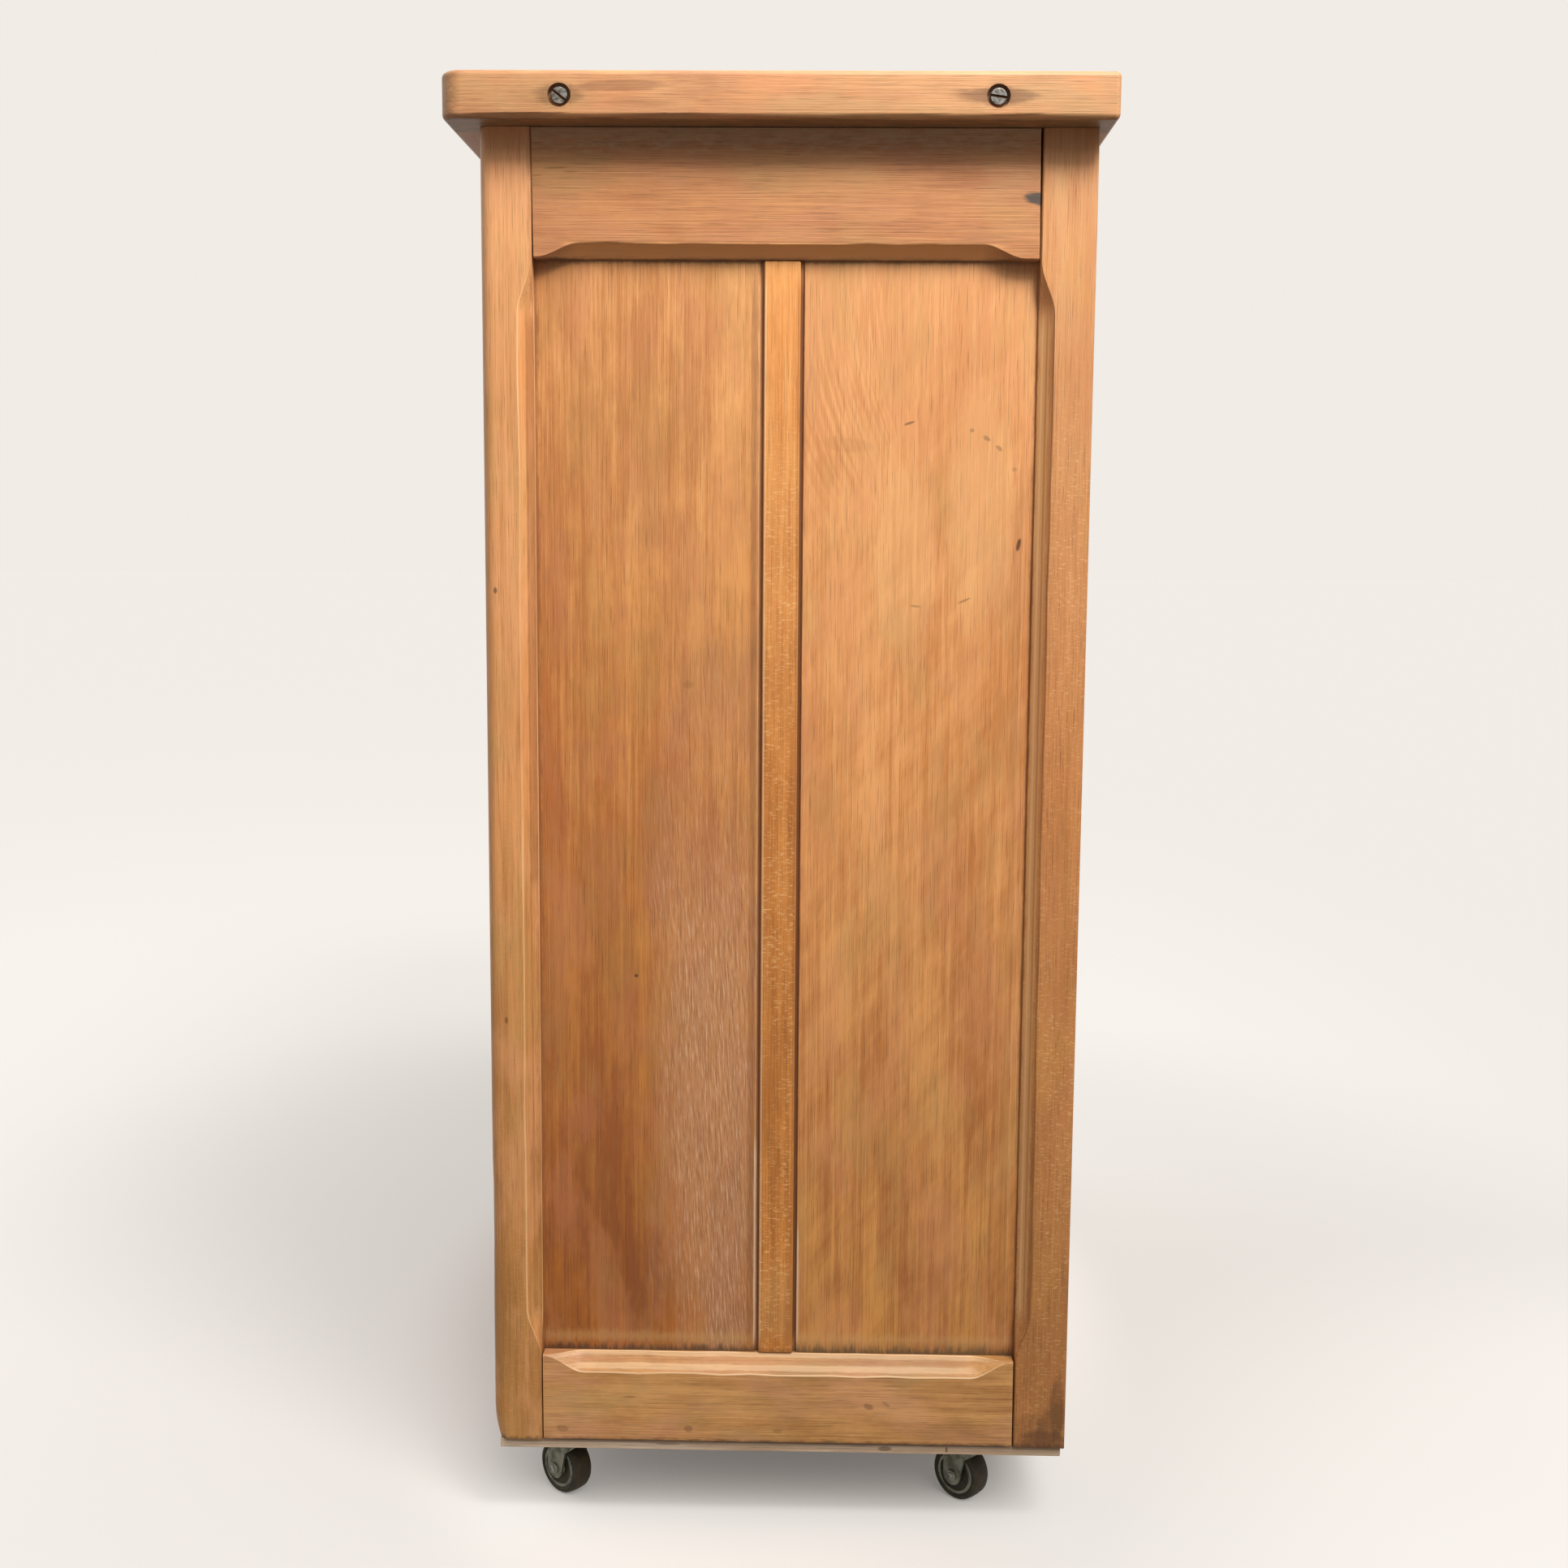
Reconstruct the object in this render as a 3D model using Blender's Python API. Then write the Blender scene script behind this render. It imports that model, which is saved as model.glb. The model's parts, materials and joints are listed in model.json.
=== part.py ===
"""Buffet cabinet of stripped wood on four swivel castors.

Metres, +Z up. The origin is on the floor, under the middle of the bounding box.
+X is the cabinet's right-hand side, and the doors and drawers face -Y.
"""

import math

import bmesh
import bpy
from mathutils import Matrix, Vector

# Driving dimensions of the body
BODY_WIDTH = 1.000
BODY_DEPTH = 0.500
BODY_HEIGHT = 1.115
FRONT_POST_WIDTH = 0.0425
REAR_POST_WIDTH = 0.0449
POST_THICKNESS = 0.044
POST_FRONT_ROUND = 0.011
SIDE_FRAME_THICKNESS = 0.028
SIDE_TOP_RAIL_HEIGHT = 0.103
BOTTOM_RAIL_HEIGHT = 0.078
MUNTIN_WIDTH = 0.0296
MUNTIN_OFFSET = 0.0024
MUNTIN_PROUD = 0.003
MUNTIN_COVER = 0.0035
PANEL_RECESS = 0.014
PANEL_THICKNESS = 0.0065
PANEL_TONGUE_THICKNESS = 0.0035
MUNTIN_SHADOW_GAP = 0.0035
GROOVE_DEPTH = 0.009
MUNTIN_GROOVE_DEPTH = 0.007

# The stopped chamfers of the frames
CHAMFER = 0.012
BOTTOM_CHAMFER_HEIGHT = 0.015
BOTTOM_CHAMFER_DEPTH = 0.0125
CHAMFER_HOLLOW = 0.10
EASED_ARRIS = 0.0008
POST_STOP = 0.042
RAIL_STOP = 0.030
BOTTOM_RAIL_STOP = 0.022
TOP_RAIL_STOP_INSET = 0.012
BOTTOM_RAIL_STOP_INSET = 0.009
STOP_STEPS = 6
ROUND_STEPS = 4

# The top
TOP_THICKNESS = 0.037
TOP_FRONT_OVERHANG = 0.0255
TOP_BACK_OVERHANG = 0.012
TOP_SIDE_OVERHANG = 0.032
TOP_CORNER_RADIUS = 0.018
TOP_EDGE_ROUND = 0.003
CLEAT_WIDTH = 0.056
CLEAT_TONGUE_LENGTH = 0.012
CLEAT_TONGUE_THICKNESS = 0.012
CLEAT_TONGUE_INSET = 0.030
CLEAT_SCREW_FROM_FRONT = 0.070
CLEAT_SCREW_FROM_BACK = 0.084
CLEAT_SCREW_BELOW_TOP = 0.0175
CLEAT_SCREW_SINK = 0.0015
SCREW_HEAD_RADIUS = 0.0065
SCREW_HEAD_HEIGHT = 0.004
SCREW_HEAD_EASE = 0.0009
SCREW_HEAD_BITE = 0.002
SCREW_COUNTERBORE_RADIUS = 0.0092
SCREW_SLOT_WIDTH = 0.0014
SCREW_SLOT_DEPTH = 0.0014
SCREW_SLOT_TURNS = (math.radians(38.0), math.radians(-8.0))

# The front frame
FRONT_RAIL_HEIGHT = 0.024
FRONT_RAIL_DEPTH = 0.040
DRAWER_OPENING_HEIGHT = 0.150
CENTRE_WIDTH = 0.040
CENTRE_LIP = 0.010
TENON_LENGTH = 0.018
SIDE_TENON_LENGTH = 0.0135
TENON_INSET = 0.006
TENON_OVERLAP = 0.004

# Doors
DOOR_THICKNESS = 0.022
DOOR_GAP = 0.002
DOOR_STOP_GAP = 0.0005
DOOR_STILE_WIDTH = 0.052
DOOR_TOP_RAIL_HEIGHT = 0.070
DOOR_BOTTOM_RAIL_HEIGHT = 0.084
DOOR_CHAMFER = 0.010
DOOR_PANEL_RECESS = 0.0105
DOOR_PANEL_THICKNESS = 0.0055
DOOR_MUNTIN_PROUD = 0.0025
DOOR_KNOB_HEIGHT = 0.500

# Butt hinges with their barrels proud of the front
HINGE_BARREL_RADIUS = 0.0026
HINGE_PIN_RADIUS = 0.0012
HINGE_PIN_BITE = 0.004
HINGE_HEIGHT = 0.050
HINGE_LEAF_DEPTH = 0.018
HINGE_LEAF_THICKNESS = 0.001
HINGE_FROM_DOOR_END = 0.110
HINGE_SIDES = 12

# Drawers
DRAWER_GAP = 0.0015
DRAWER_FRONT_THICKNESS = 0.020
DRAWER_BACK_ROOM = 0.045
DRAWER_SIDE_THICKNESS = 0.011
DRAWER_BACK_THICKNESS = 0.011
DRAWER_KNOB_SPREAD = 0.480
DRAWER_LAP = 0.012
DRAWER_BOTTOM_THICKNESS = 0.007
DRAWER_BOTTOM_RAISE = 0.010
DRAWER_BOTTOM_GROOVE = 0.005
RUNNING_GAP = 0.0005
RUNNER_HEIGHT = 0.020
RUNNER_LIP = 0.016
GUIDE_HEIGHT = 0.018

# Turned knobs
KNOB_PROJECTION = 0.026
KNOB_RADIUS = 0.017
KNOB_NECK_RADIUS = 0.0075
KNOB_NECK_LENGTH = 0.0100
KNOB_COLLAR_RADIUS = 0.0105
KNOB_COLLAR_THICKNESS = 0.0025
KNOB_COLLAR_SLOPE = 0.002
KNOB_CROWN_HEIGHT = 0.0090
KNOB_BELLY_HEIGHT = 0.0075
KNOB_FULLNESS = 0.8
KNOB_BELLY_TURNS = (-60.0, -25.0)
KNOB_CROWN_TURNS = (15.0, 45.0, 70.0)
KNOB_SPIGOT_RADIUS = 0.005
KNOB_SPIGOT_LENGTH = 0.014
KNOB_SIDES = 20

# Back, floor and shelf
BACK_BOARD_THICKNESS = 0.010
BACK_BOARD_COUNT = 8
BACK_BOARD_V = 0.002
BACK_REBATE_WIDTH = 0.014
FLOOR_THICKNESS = 0.014
SHELF_THICKNESS = 0.016
SHELF_HEIGHT = 0.500
SHELF_SETBACK = 0.060
BEARER_HEIGHT = 0.022

# Base board and castors
BASE_THICKNESS = 0.009
BASE_FRONT_INSET = 0.005
BASE_BACK_INSET = 0.003
BASE_SIDE_INSET = 0.004
WHEEL_DIAMETER = 0.050
WHEEL_WIDTH = 0.020
WHEEL_HEADROOM = 0.0069
HUB_RADIUS = 0.0075
WEB_SINK = 0.003
WEB_SLOPE = 0.001
RIM_SINK = 0.0008
RIM_WIDTH = 0.0045
TYRE_DEPTH = 0.0055
TYRE_WALL_SINK = 0.0016
TREAD_ROUND_WIDTH = 0.0042
TREAD_ROUND_DEPTH = 0.0006
TREAD_SHOULDER = 0.0025
WHEEL_SIDES = 24
CASTOR_SIDE_INSET = 0.049
CASTOR_END_INSET = 0.070
CASTOR_TRAIL = 0.020
CASTOR_PLATE = 0.048
CASTOR_PLATE_THICKNESS = 0.0025
CASTOR_PLATE_CORNER = 0.006
PLATE_BITE = 0.001
CASTOR_RACE_RADIUS = 0.0165
CASTOR_RACE_HEIGHT = 0.0028
RACE_TAPER = 0.001
KINGPIN_RADIUS = 0.004
KINGPIN_HEAD_RADIUS = 0.0065
KINGPIN_HEAD_HEIGHT = 0.0022
KINGPIN_HEAD_TAPER = 0.002
FORK_CROWN_THICKNESS = 0.003
FORK_CROWN_FLARE = 0.0015
FORK_LEG_THICKNESS = 0.0025
FORK_LEG_TOP_FRONT = 0.011
FORK_LEG_TOP_BACK = 0.019
FORK_FRONT_DROP = 0.006
FORK_BACK_DROP = 0.016
FORK_WAIST_REACH = 0.004
FORK_WAIST_RISE = 0.008
FORK_BRIDGE_INSET = 0.001
FORK_BRIDGE_LAP = 0.007
FORK_BITE = 0.0005
FORK_LEG_END_RADIUS = 0.0095
FORK_WHEEL_CLEARANCE = 0.0015
AXLE_RADIUS = 0.003
AXLE_HEAD_RADIUS = 0.0052
AXLE_HEAD_HEIGHT = 0.0026
AXLE_CLEARANCE = 0.0004
AXLE_HEAD_TOP_SHARE = 0.6
AXLE_HEAD_ROUND_SHARE = 0.4
ROUND_SIDES = 16
# How far each castor has swivelled: the way its wheel trails, counted from +X towards +Y
CASTOR_TURNS = {
    "front_right": math.radians(228.0),
    "rear_right": math.radians(228.0),
    "front_left": math.radians(150.0),
    "rear_left": math.radians(305.0),
}

# Touching pieces keep this gap
GAP = 0.0003
# A cutter runs this far past the face it cuts, and a joined block this far into its wood
PAST = 0.010
# Corners nearer than this become one
MERGE = 1e-6

# Places that follow from the sizes above
CROWN_TOP = WHEEL_DIAMETER + WHEEL_HEADROOM + KINGPIN_HEAD_HEIGHT + FORK_CROWN_THICKNESS + GAP
CASTOR_HEIGHT = CROWN_TOP + GAP + CASTOR_RACE_HEIGHT + CASTOR_PLATE_THICKNESS
HALF_WIDTH = BODY_WIDTH / 2
FRONT_REACH = max(KNOB_PROJECTION, TOP_FRONT_OVERHANG)
FRONT = FRONT_REACH - (BODY_DEPTH + FRONT_REACH + TOP_BACK_OVERHANG) / 2
BACK = FRONT + BODY_DEPTH
BODY_BOTTOM = CASTOR_HEIGHT + BASE_THICKNESS + GAP
BODY_TOP = BODY_BOTTOM + BODY_HEIGHT
POST_INSIDE = HALF_WIDTH - POST_THICKNESS
FRONT_POST_BACK = FRONT + FRONT_POST_WIDTH
REAR_POST_FRONT = BACK - REAR_POST_WIDTH
SIDE_RAIL_INSIDE = HALF_WIDTH - SIDE_FRAME_THICKNESS
MUNTIN_BACK = PANEL_RECESS + PANEL_THICKNESS + MUNTIN_COVER
BOARD_REACH = HALF_WIDTH - MUNTIN_BACK - 2 * GAP
BOTTOM_RAIL_TOP = BODY_BOTTOM + BOTTOM_RAIL_HEIGHT
SIDE_TOP_RAIL_BOTTOM = BODY_TOP - SIDE_TOP_RAIL_HEIGHT
FRONT_TOP_RAIL_BOTTOM = BODY_TOP - FRONT_RAIL_HEIGHT
BLADE_TOP = FRONT_TOP_RAIL_BOTTOM - DRAWER_OPENING_HEIGHT
BLADE_BOTTOM = BLADE_TOP - FRONT_RAIL_HEIGHT
FRONT_RAIL_BACK = FRONT + FRONT_RAIL_DEPTH
BOARDS_FRONT = BACK - BACK_BOARD_THICKNESS
DOOR_STOP = FRONT + DOOR_THICKNESS + DOOR_STOP_GAP
FLOOR_TOP = BOTTOM_RAIL_TOP + GAP + FLOOR_THICKNESS

# Colours, as base colour, roughness and metallic
BEECH = ("stripped_beech", (0.62, 0.34, 0.15), 0.55, 0.0)
ELM = ("stripped_elm", (0.55, 0.28, 0.11), 0.6, 0.0)
PINE = ("plain_pine", (0.60, 0.38, 0.19), 0.65, 0.0)
PLY = ("base_plywood", (0.58, 0.42, 0.26), 0.7, 0.0)
STEEL = ("dull_steel", (0.22, 0.22, 0.20), 0.45, 0.9)
BRASS = ("aged_brass", (0.42, 0.30, 0.13), 0.4, 1.0)
RUBBER = ("dark_rubber", (0.035, 0.028, 0.022), 0.75, 0.0)

RIGHT = 1
LEFT = -1
SIDES = {"right": RIGHT, "left": LEFT}


def clear_scene():
    """Removes whatever the opened file holds."""
    for item in list(bpy.data.objects):
        bpy.data.objects.remove(item, do_unlink=True)


def material(recipe):
    """One Principled material for each recipe."""
    name, colour, roughness, metallic = recipe
    found = bpy.data.materials.get(name)
    if found:
        return found
    made = bpy.data.materials.new(name)
    made.use_nodes = True
    shader = made.node_tree.nodes["Principled BSDF"]
    shader.inputs["Base Color"].default_value = (*colour, 1.0)
    shader.inputs["Roughness"].default_value = roughness
    shader.inputs["Metallic"].default_value = metallic
    made.diffuse_color = (*colour, 1.0)
    return made


def keep(name, shape, recipe, pivot=None):
    """Makes the shape an object, with its origin at the pivot empty where one is given."""
    if pivot:
        shape.transform(pivot.matrix_world.inverted())
    mesh = bpy.data.meshes.new(name)
    shape.to_mesh(mesh)
    shape.free()
    mesh.materials.append(material(recipe))
    mesh.set_sharp_from_angle(angle=math.radians(35.0))
    item = bpy.data.objects.new(name, mesh)
    bpy.context.scene.collection.objects.link(item)
    item.parent = pivot
    return item


def pivot_at(name, place, turn=0.0):
    """An empty on a joint's axis, which the moving pieces hang from."""
    empty = bpy.data.objects.new(name, None)
    empty.location = place
    empty.rotation_euler.z = turn
    bpy.context.scene.collection.objects.link(empty)
    bpy.context.view_layer.update()
    return empty


def outward(shape):
    """One closed body with its faces all pointing out."""
    bmesh.ops.recalc_face_normals(shape, faces=shape.faces)
    if shape.calc_volume(signed=True) < 0.0:
        bmesh.ops.reverse_faces(shape, faces=shape.faces)
    return shape


def boolean(shape, tool, operation):
    """The shape cut by the tool, or joined with it."""
    items = []
    for source in (shape, tool):
        mesh = bpy.data.meshes.new("boolean")
        source.to_mesh(mesh)
        source.free()
        item = bpy.data.objects.new("boolean", mesh)
        bpy.context.scene.collection.objects.link(item)
        items.append(item)
    body, cutter = items
    modifier = body.modifiers.new("Boolean", "BOOLEAN")
    modifier.operation = operation
    modifier.object = cutter
    bpy.context.view_layer.update()
    result = bmesh.new()
    result.from_object(body, bpy.context.evaluated_depsgraph_get())
    bmesh.ops.remove_doubles(result, verts=result.verts, dist=MERGE)
    bmesh.ops.dissolve_degenerate(result, edges=result.edges, dist=MERGE)
    for item in items:
        mesh = item.data
        bpy.data.objects.remove(item, do_unlink=True)
        bpy.data.meshes.remove(mesh)
    return result


def cut(shape, *tools):
    for tool in tools:
        shape = boolean(shape, tool, "DIFFERENCE")
    return shape


def join(shape, *tools):
    for tool in tools:
        shape = boolean(shape, tool, "UNION")
    return shape


def box(x, y, z, grow=0.0):
    """A block between two places on each axis, given in either order."""
    shape = bmesh.new()
    low = Vector([min(span) - grow for span in (x, y, z)])
    high = Vector([max(span) + grow for span in (x, y, z)])
    bmesh.ops.create_cube(shape, size=1.0)
    bmesh.ops.scale(shape, vec=high - low, verts=shape.verts)
    bmesh.ops.translate(shape, vec=(low + high) / 2, verts=shape.verts)
    return shape


def eased_box(x, y, z, ease=EASED_ARRIS):
    """A block with its arrises taken off."""
    shape = box(x, y, z)
    bmesh.ops.bevel(shape, geom=shape.edges[:], offset=ease, segments=1, affect="EDGES")
    return shape


def extruded(outline, plane_start, plane_end, place):
    """A closed outline of (a, b) points, extruded from plane_start to plane_end and put in place.

    place turns (a, b, distance) into a point.
    """
    shape = bmesh.new()
    near = [shape.verts.new(place(a, b, plane_start)) for a, b in outline]
    far = [shape.verts.new(place(a, b, plane_end)) for a, b in outline]
    shape.faces.new(near)
    shape.faces.new(reversed(far))
    count = len(outline)
    for index in range(count):
        following = (index + 1) % count
        shape.faces.new((near[following], near[index], far[index], far[following]))
    return outward(shape)


def turned(profile, sides, place=Matrix.Identity(4)):
    """A profile of (distance along the axis, radius) points, spun round Z and put in place.

    A flat end is one face.
    """
    shape = bmesh.new()
    points = [shape.verts.new((radius, 0.0, along)) for along, radius in profile]
    closed = profile[0][1] > 0.0
    edges = [shape.edges.new(pair) for pair in zip(points, points[1:])]
    if closed:
        edges.append(shape.edges.new((points[-1], points[0])))
    bmesh.ops.spin(
        shape,
        geom=points + edges,
        cent=(0.0, 0.0, 0.0),
        axis=(0.0, 0.0, 1.0),
        angle=math.tau,
        steps=sides,
        use_merge=True,
    )
    bmesh.ops.remove_doubles(shape, verts=shape.verts, dist=MERGE)
    bmesh.ops.dissolve_degenerate(shape, edges=shape.edges, dist=MERGE)
    ends = ((profile[0], profile[1]), (profile[-1], profile[-2]))
    flat = [centre[0] for centre, beside in ends if centre[1] == 0.0 and centre[0] == beside[0]]
    hubs = [vert for vert in shape.verts if vert.co.xy.length < MERGE
            and any(abs(vert.co.z - along) < MERGE for along in flat)]
    bmesh.ops.dissolve_verts(shape, verts=hubs)
    shape.transform(place)
    return outward(shape)


def rod(start, end, radius, sides=ROUND_SIDES):
    """A round bar between two points."""
    start = Vector(start)
    run = Vector(end) - start
    turn = run.to_track_quat("Z", "Y").to_matrix().to_4x4()
    profile = ((0.0, 0.0), (0.0, radius), (run.length, radius), (run.length, 0.0))
    return turned(profile, sides, Matrix.Translation(start) @ turn)


def arc(centre, radius, start, end, steps):
    """Points on an arc, from one angle in degrees to another."""
    points = []
    for step in range(steps + 1):
        angle = math.radians(start + (end - start) * step / steps)
        points.append((centre[0] + radius * math.cos(angle), centre[1] + radius * math.sin(angle)))
    return points


def smooth(share):
    """An S-shaped rise from 0 to 1."""
    share = min(max(share, 0.0), 1.0)
    return share * share * (3.0 - 2.0 * share)


def member_section(width, thickness, chamfer, chamfer_depth, outer_round):
    """(across, inward) points of a frame member: outer arris, chamfered inner arris, back."""
    steps = ROUND_STEPS if outer_round > EASED_ARRIS else 1
    points = arc((outer_round, outer_round), outer_round, 180.0, 270.0, steps)
    points.append((width - chamfer, 0.0))
    hollow = CHAMFER_HOLLOW * chamfer
    points.append((width - chamfer / 2 - hollow, chamfer_depth / 2 + hollow))
    points.append((width, chamfer_depth))
    points.append((width, thickness))
    points.append((0.0, thickness))
    return points


def member(origin, along, across, inward, length, width, thickness, chamfer=None,
           outer_round=EASED_ARRIS):
    """A stile or rail whose inner arris has a chamfer that is stopped at both ends.

    chamfer is (width, depth, start, end, stop length), or None where the arris is only eased.
    """
    origin, along, across, inward = (Vector(value) for value in (origin, along, across, inward))
    stations = [(0.0, 0.0), (length, 0.0)]
    if chamfer:
        full_width, full_depth, start, end, stop = chamfer
        rises = [step / STOP_STEPS for step in range(STOP_STEPS + 1)]
        stations[1:1] = [(start + stop * rise, smooth(rise)) for rise in rises]
        stations[-1:-1] = [(end - stop * (1.0 - rise), smooth(1.0 - rise)) for rise in rises]
    shape = bmesh.new()
    rings = []
    for distance, share in stations:
        cut_width = EASED_ARRIS
        cut_depth = EASED_ARRIS
        if chamfer:
            cut_width += (full_width - EASED_ARRIS) * share
            cut_depth += (full_depth - EASED_ARRIS) * share
        ring = []
        for step_across, step_inward in member_section(width, thickness, cut_width, cut_depth, outer_round):
            point = origin + along * distance + across * step_across + inward * step_inward
            ring.append(shape.verts.new(point))
        rings.append(ring)
    for ring, following in zip(rings, rings[1:]):
        for index in range(len(ring)):
            other = (index + 1) % len(ring)
            shape.faces.new((ring[index], ring[other], following[other], following[index]))
    shape.faces.new(reversed(rings[0]))
    shape.faces.new(rings[-1])
    return outward(shape)


def knob(place):
    """A turned knob whose spigot goes into the wood behind it. Its axis is Z here, outwards."""
    profile = [
        (-KNOB_SPIGOT_LENGTH, 0.0),
        (-KNOB_SPIGOT_LENGTH, KNOB_SPIGOT_RADIUS),
        (GAP, KNOB_SPIGOT_RADIUS),
        (GAP, KNOB_COLLAR_RADIUS),
        (KNOB_COLLAR_THICKNESS, KNOB_COLLAR_RADIUS),
        (KNOB_COLLAR_THICKNESS + KNOB_COLLAR_SLOPE, KNOB_NECK_RADIUS),
        (KNOB_NECK_LENGTH, KNOB_NECK_RADIUS),
    ]
    belly = KNOB_PROJECTION - KNOB_CROWN_HEIGHT
    for turns, half_height in ((KNOB_BELLY_TURNS, KNOB_BELLY_HEIGHT), (KNOB_CROWN_TURNS, KNOB_CROWN_HEIGHT)):
        for turn in turns:
            angle = math.radians(turn)
            reach = KNOB_RADIUS * math.cos(angle) ** KNOB_FULLNESS
            profile.append((belly + half_height * math.sin(angle), reach))
    profile.append((KNOB_PROJECTION, 0.0))
    return turned(profile, KNOB_SIDES, place)


def knob_hole(x, z, face):
    """The hole for a knob's spigot, in wood whose face is at y = face."""
    end = face + KNOB_SPIGOT_LENGTH + GAP
    return rod((x, face - PAST, z), (x, end, z), KNOB_SPIGOT_RADIUS + GAP)


def make_posts():
    """Four corner posts, grooved and mortised for the frames between them."""
    for side, sign in SIDES.items():
        face = sign * HALF_WIDTH
        inside = sign * POST_INSIDE
        groove_x = (face - sign * (PANEL_RECESS - GAP), face - sign * (PANEL_RECESS + PANEL_THICKNESS + GAP))
        stop_start = BOTTOM_RAIL_HEIGHT
        stop_end = BODY_HEIGHT - SIDE_TOP_RAIL_HEIGHT - EASED_ARRIS
        chamfer = (CHAMFER, CHAMFER, stop_start, stop_end, POST_STOP)
        ends = {
            "front": (FRONT, 1, FRONT_POST_WIDTH, POST_FRONT_ROUND),
            "rear": (BACK, -1, REAR_POST_WIDTH, EASED_ARRIS),
        }
        for end, (outside, way, width, outer_round) in ends.items():
            shape = member(
                origin=(face, outside, BODY_BOTTOM),
                along=(0, 0, 1),
                across=(0, way, 0),
                inward=(-sign, 0, 0),
                length=BODY_HEIGHT,
                width=width,
                thickness=POST_THICKNESS,
                chamfer=chamfer,
                outer_round=outer_round,
            )
            inner = outside + way * width
            groove_y = (inner + way * PAST, inner - way * (GROOVE_DEPTH + GAP))
            groove_z = (BOTTOM_RAIL_TOP - GROOVE_DEPTH, SIDE_TOP_RAIL_BOTTOM + GROOVE_DEPTH)
            shape = cut(shape, box(groove_x, groove_y, groove_z))
            for low, high in side_tenon_heights():
                mortise_y = (inner + way * PAST, inner - way * (SIDE_TENON_LENGTH + GAP))
                shape = cut(shape, box(groove_x, mortise_y, (low - GAP, high + GAP)))
            if end == "front":
                for x, y, z in front_tenons(sign):
                    shape = cut(shape, box((x[0] - sign * PAST, x[1]), y, z, GAP))
                for z in hinge_heights():
                    recess_x = (inside - sign * PAST, inside + sign * (HINGE_LEAF_THICKNESS + GAP))
                    recess_y = (FRONT - PAST, FRONT + HINGE_LEAF_DEPTH + GAP)
                    recess_z = (z - HINGE_HEIGHT / 2 - GAP, z + HINGE_HEIGHT / 2 + GAP)
                    shape = cut(shape, box(recess_x, recess_y, recess_z))
            else:
                rebate_x = (inside - sign * PAST, inside + sign * BACK_REBATE_WIDTH)
                rebate_y = (BOARDS_FRONT - GAP, BACK + PAST)
                rebate_z = (BODY_BOTTOM - PAST, BODY_TOP + PAST)
                shape = cut(shape, box(rebate_x, rebate_y, rebate_z))
            keep(f"post_{end}_{side}", shape, BEECH)


def side_tenon_heights():
    """The heights between which the side rails' tenons lie, bottom rail first."""
    bottom = (BODY_BOTTOM + 2 * TENON_INSET, BOTTOM_RAIL_TOP - BOTTOM_CHAMFER_HEIGHT)
    top = (SIDE_TOP_RAIL_BOTTOM + CHAMFER + TENON_INSET, BODY_TOP - 2 * TENON_INSET)
    return bottom, top


def front_tenons(sign):
    """Spans on X, Y and Z of the tenons that the three front rails put into one front post."""
    x = (sign * POST_INSIDE, sign * (POST_INSIDE + TENON_LENGTH))
    y = (FRONT + 2 * TENON_INSET, FRONT_RAIL_BACK - 2 * TENON_INSET)
    low_y = (FRONT + TENON_INSET, FRONT + SIDE_FRAME_THICKNESS - 2 * TENON_INSET)
    return (
        (x, y, (FRONT_TOP_RAIL_BOTTOM + TENON_INSET, BODY_TOP - TENON_INSET)),
        (x, y, (BLADE_BOTTOM + TENON_INSET, BLADE_TOP - TENON_INSET)),
        (x, low_y, (BODY_BOTTOM + 2 * TENON_INSET, BOTTOM_RAIL_TOP - 2 * TENON_INSET)),
    )


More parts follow.
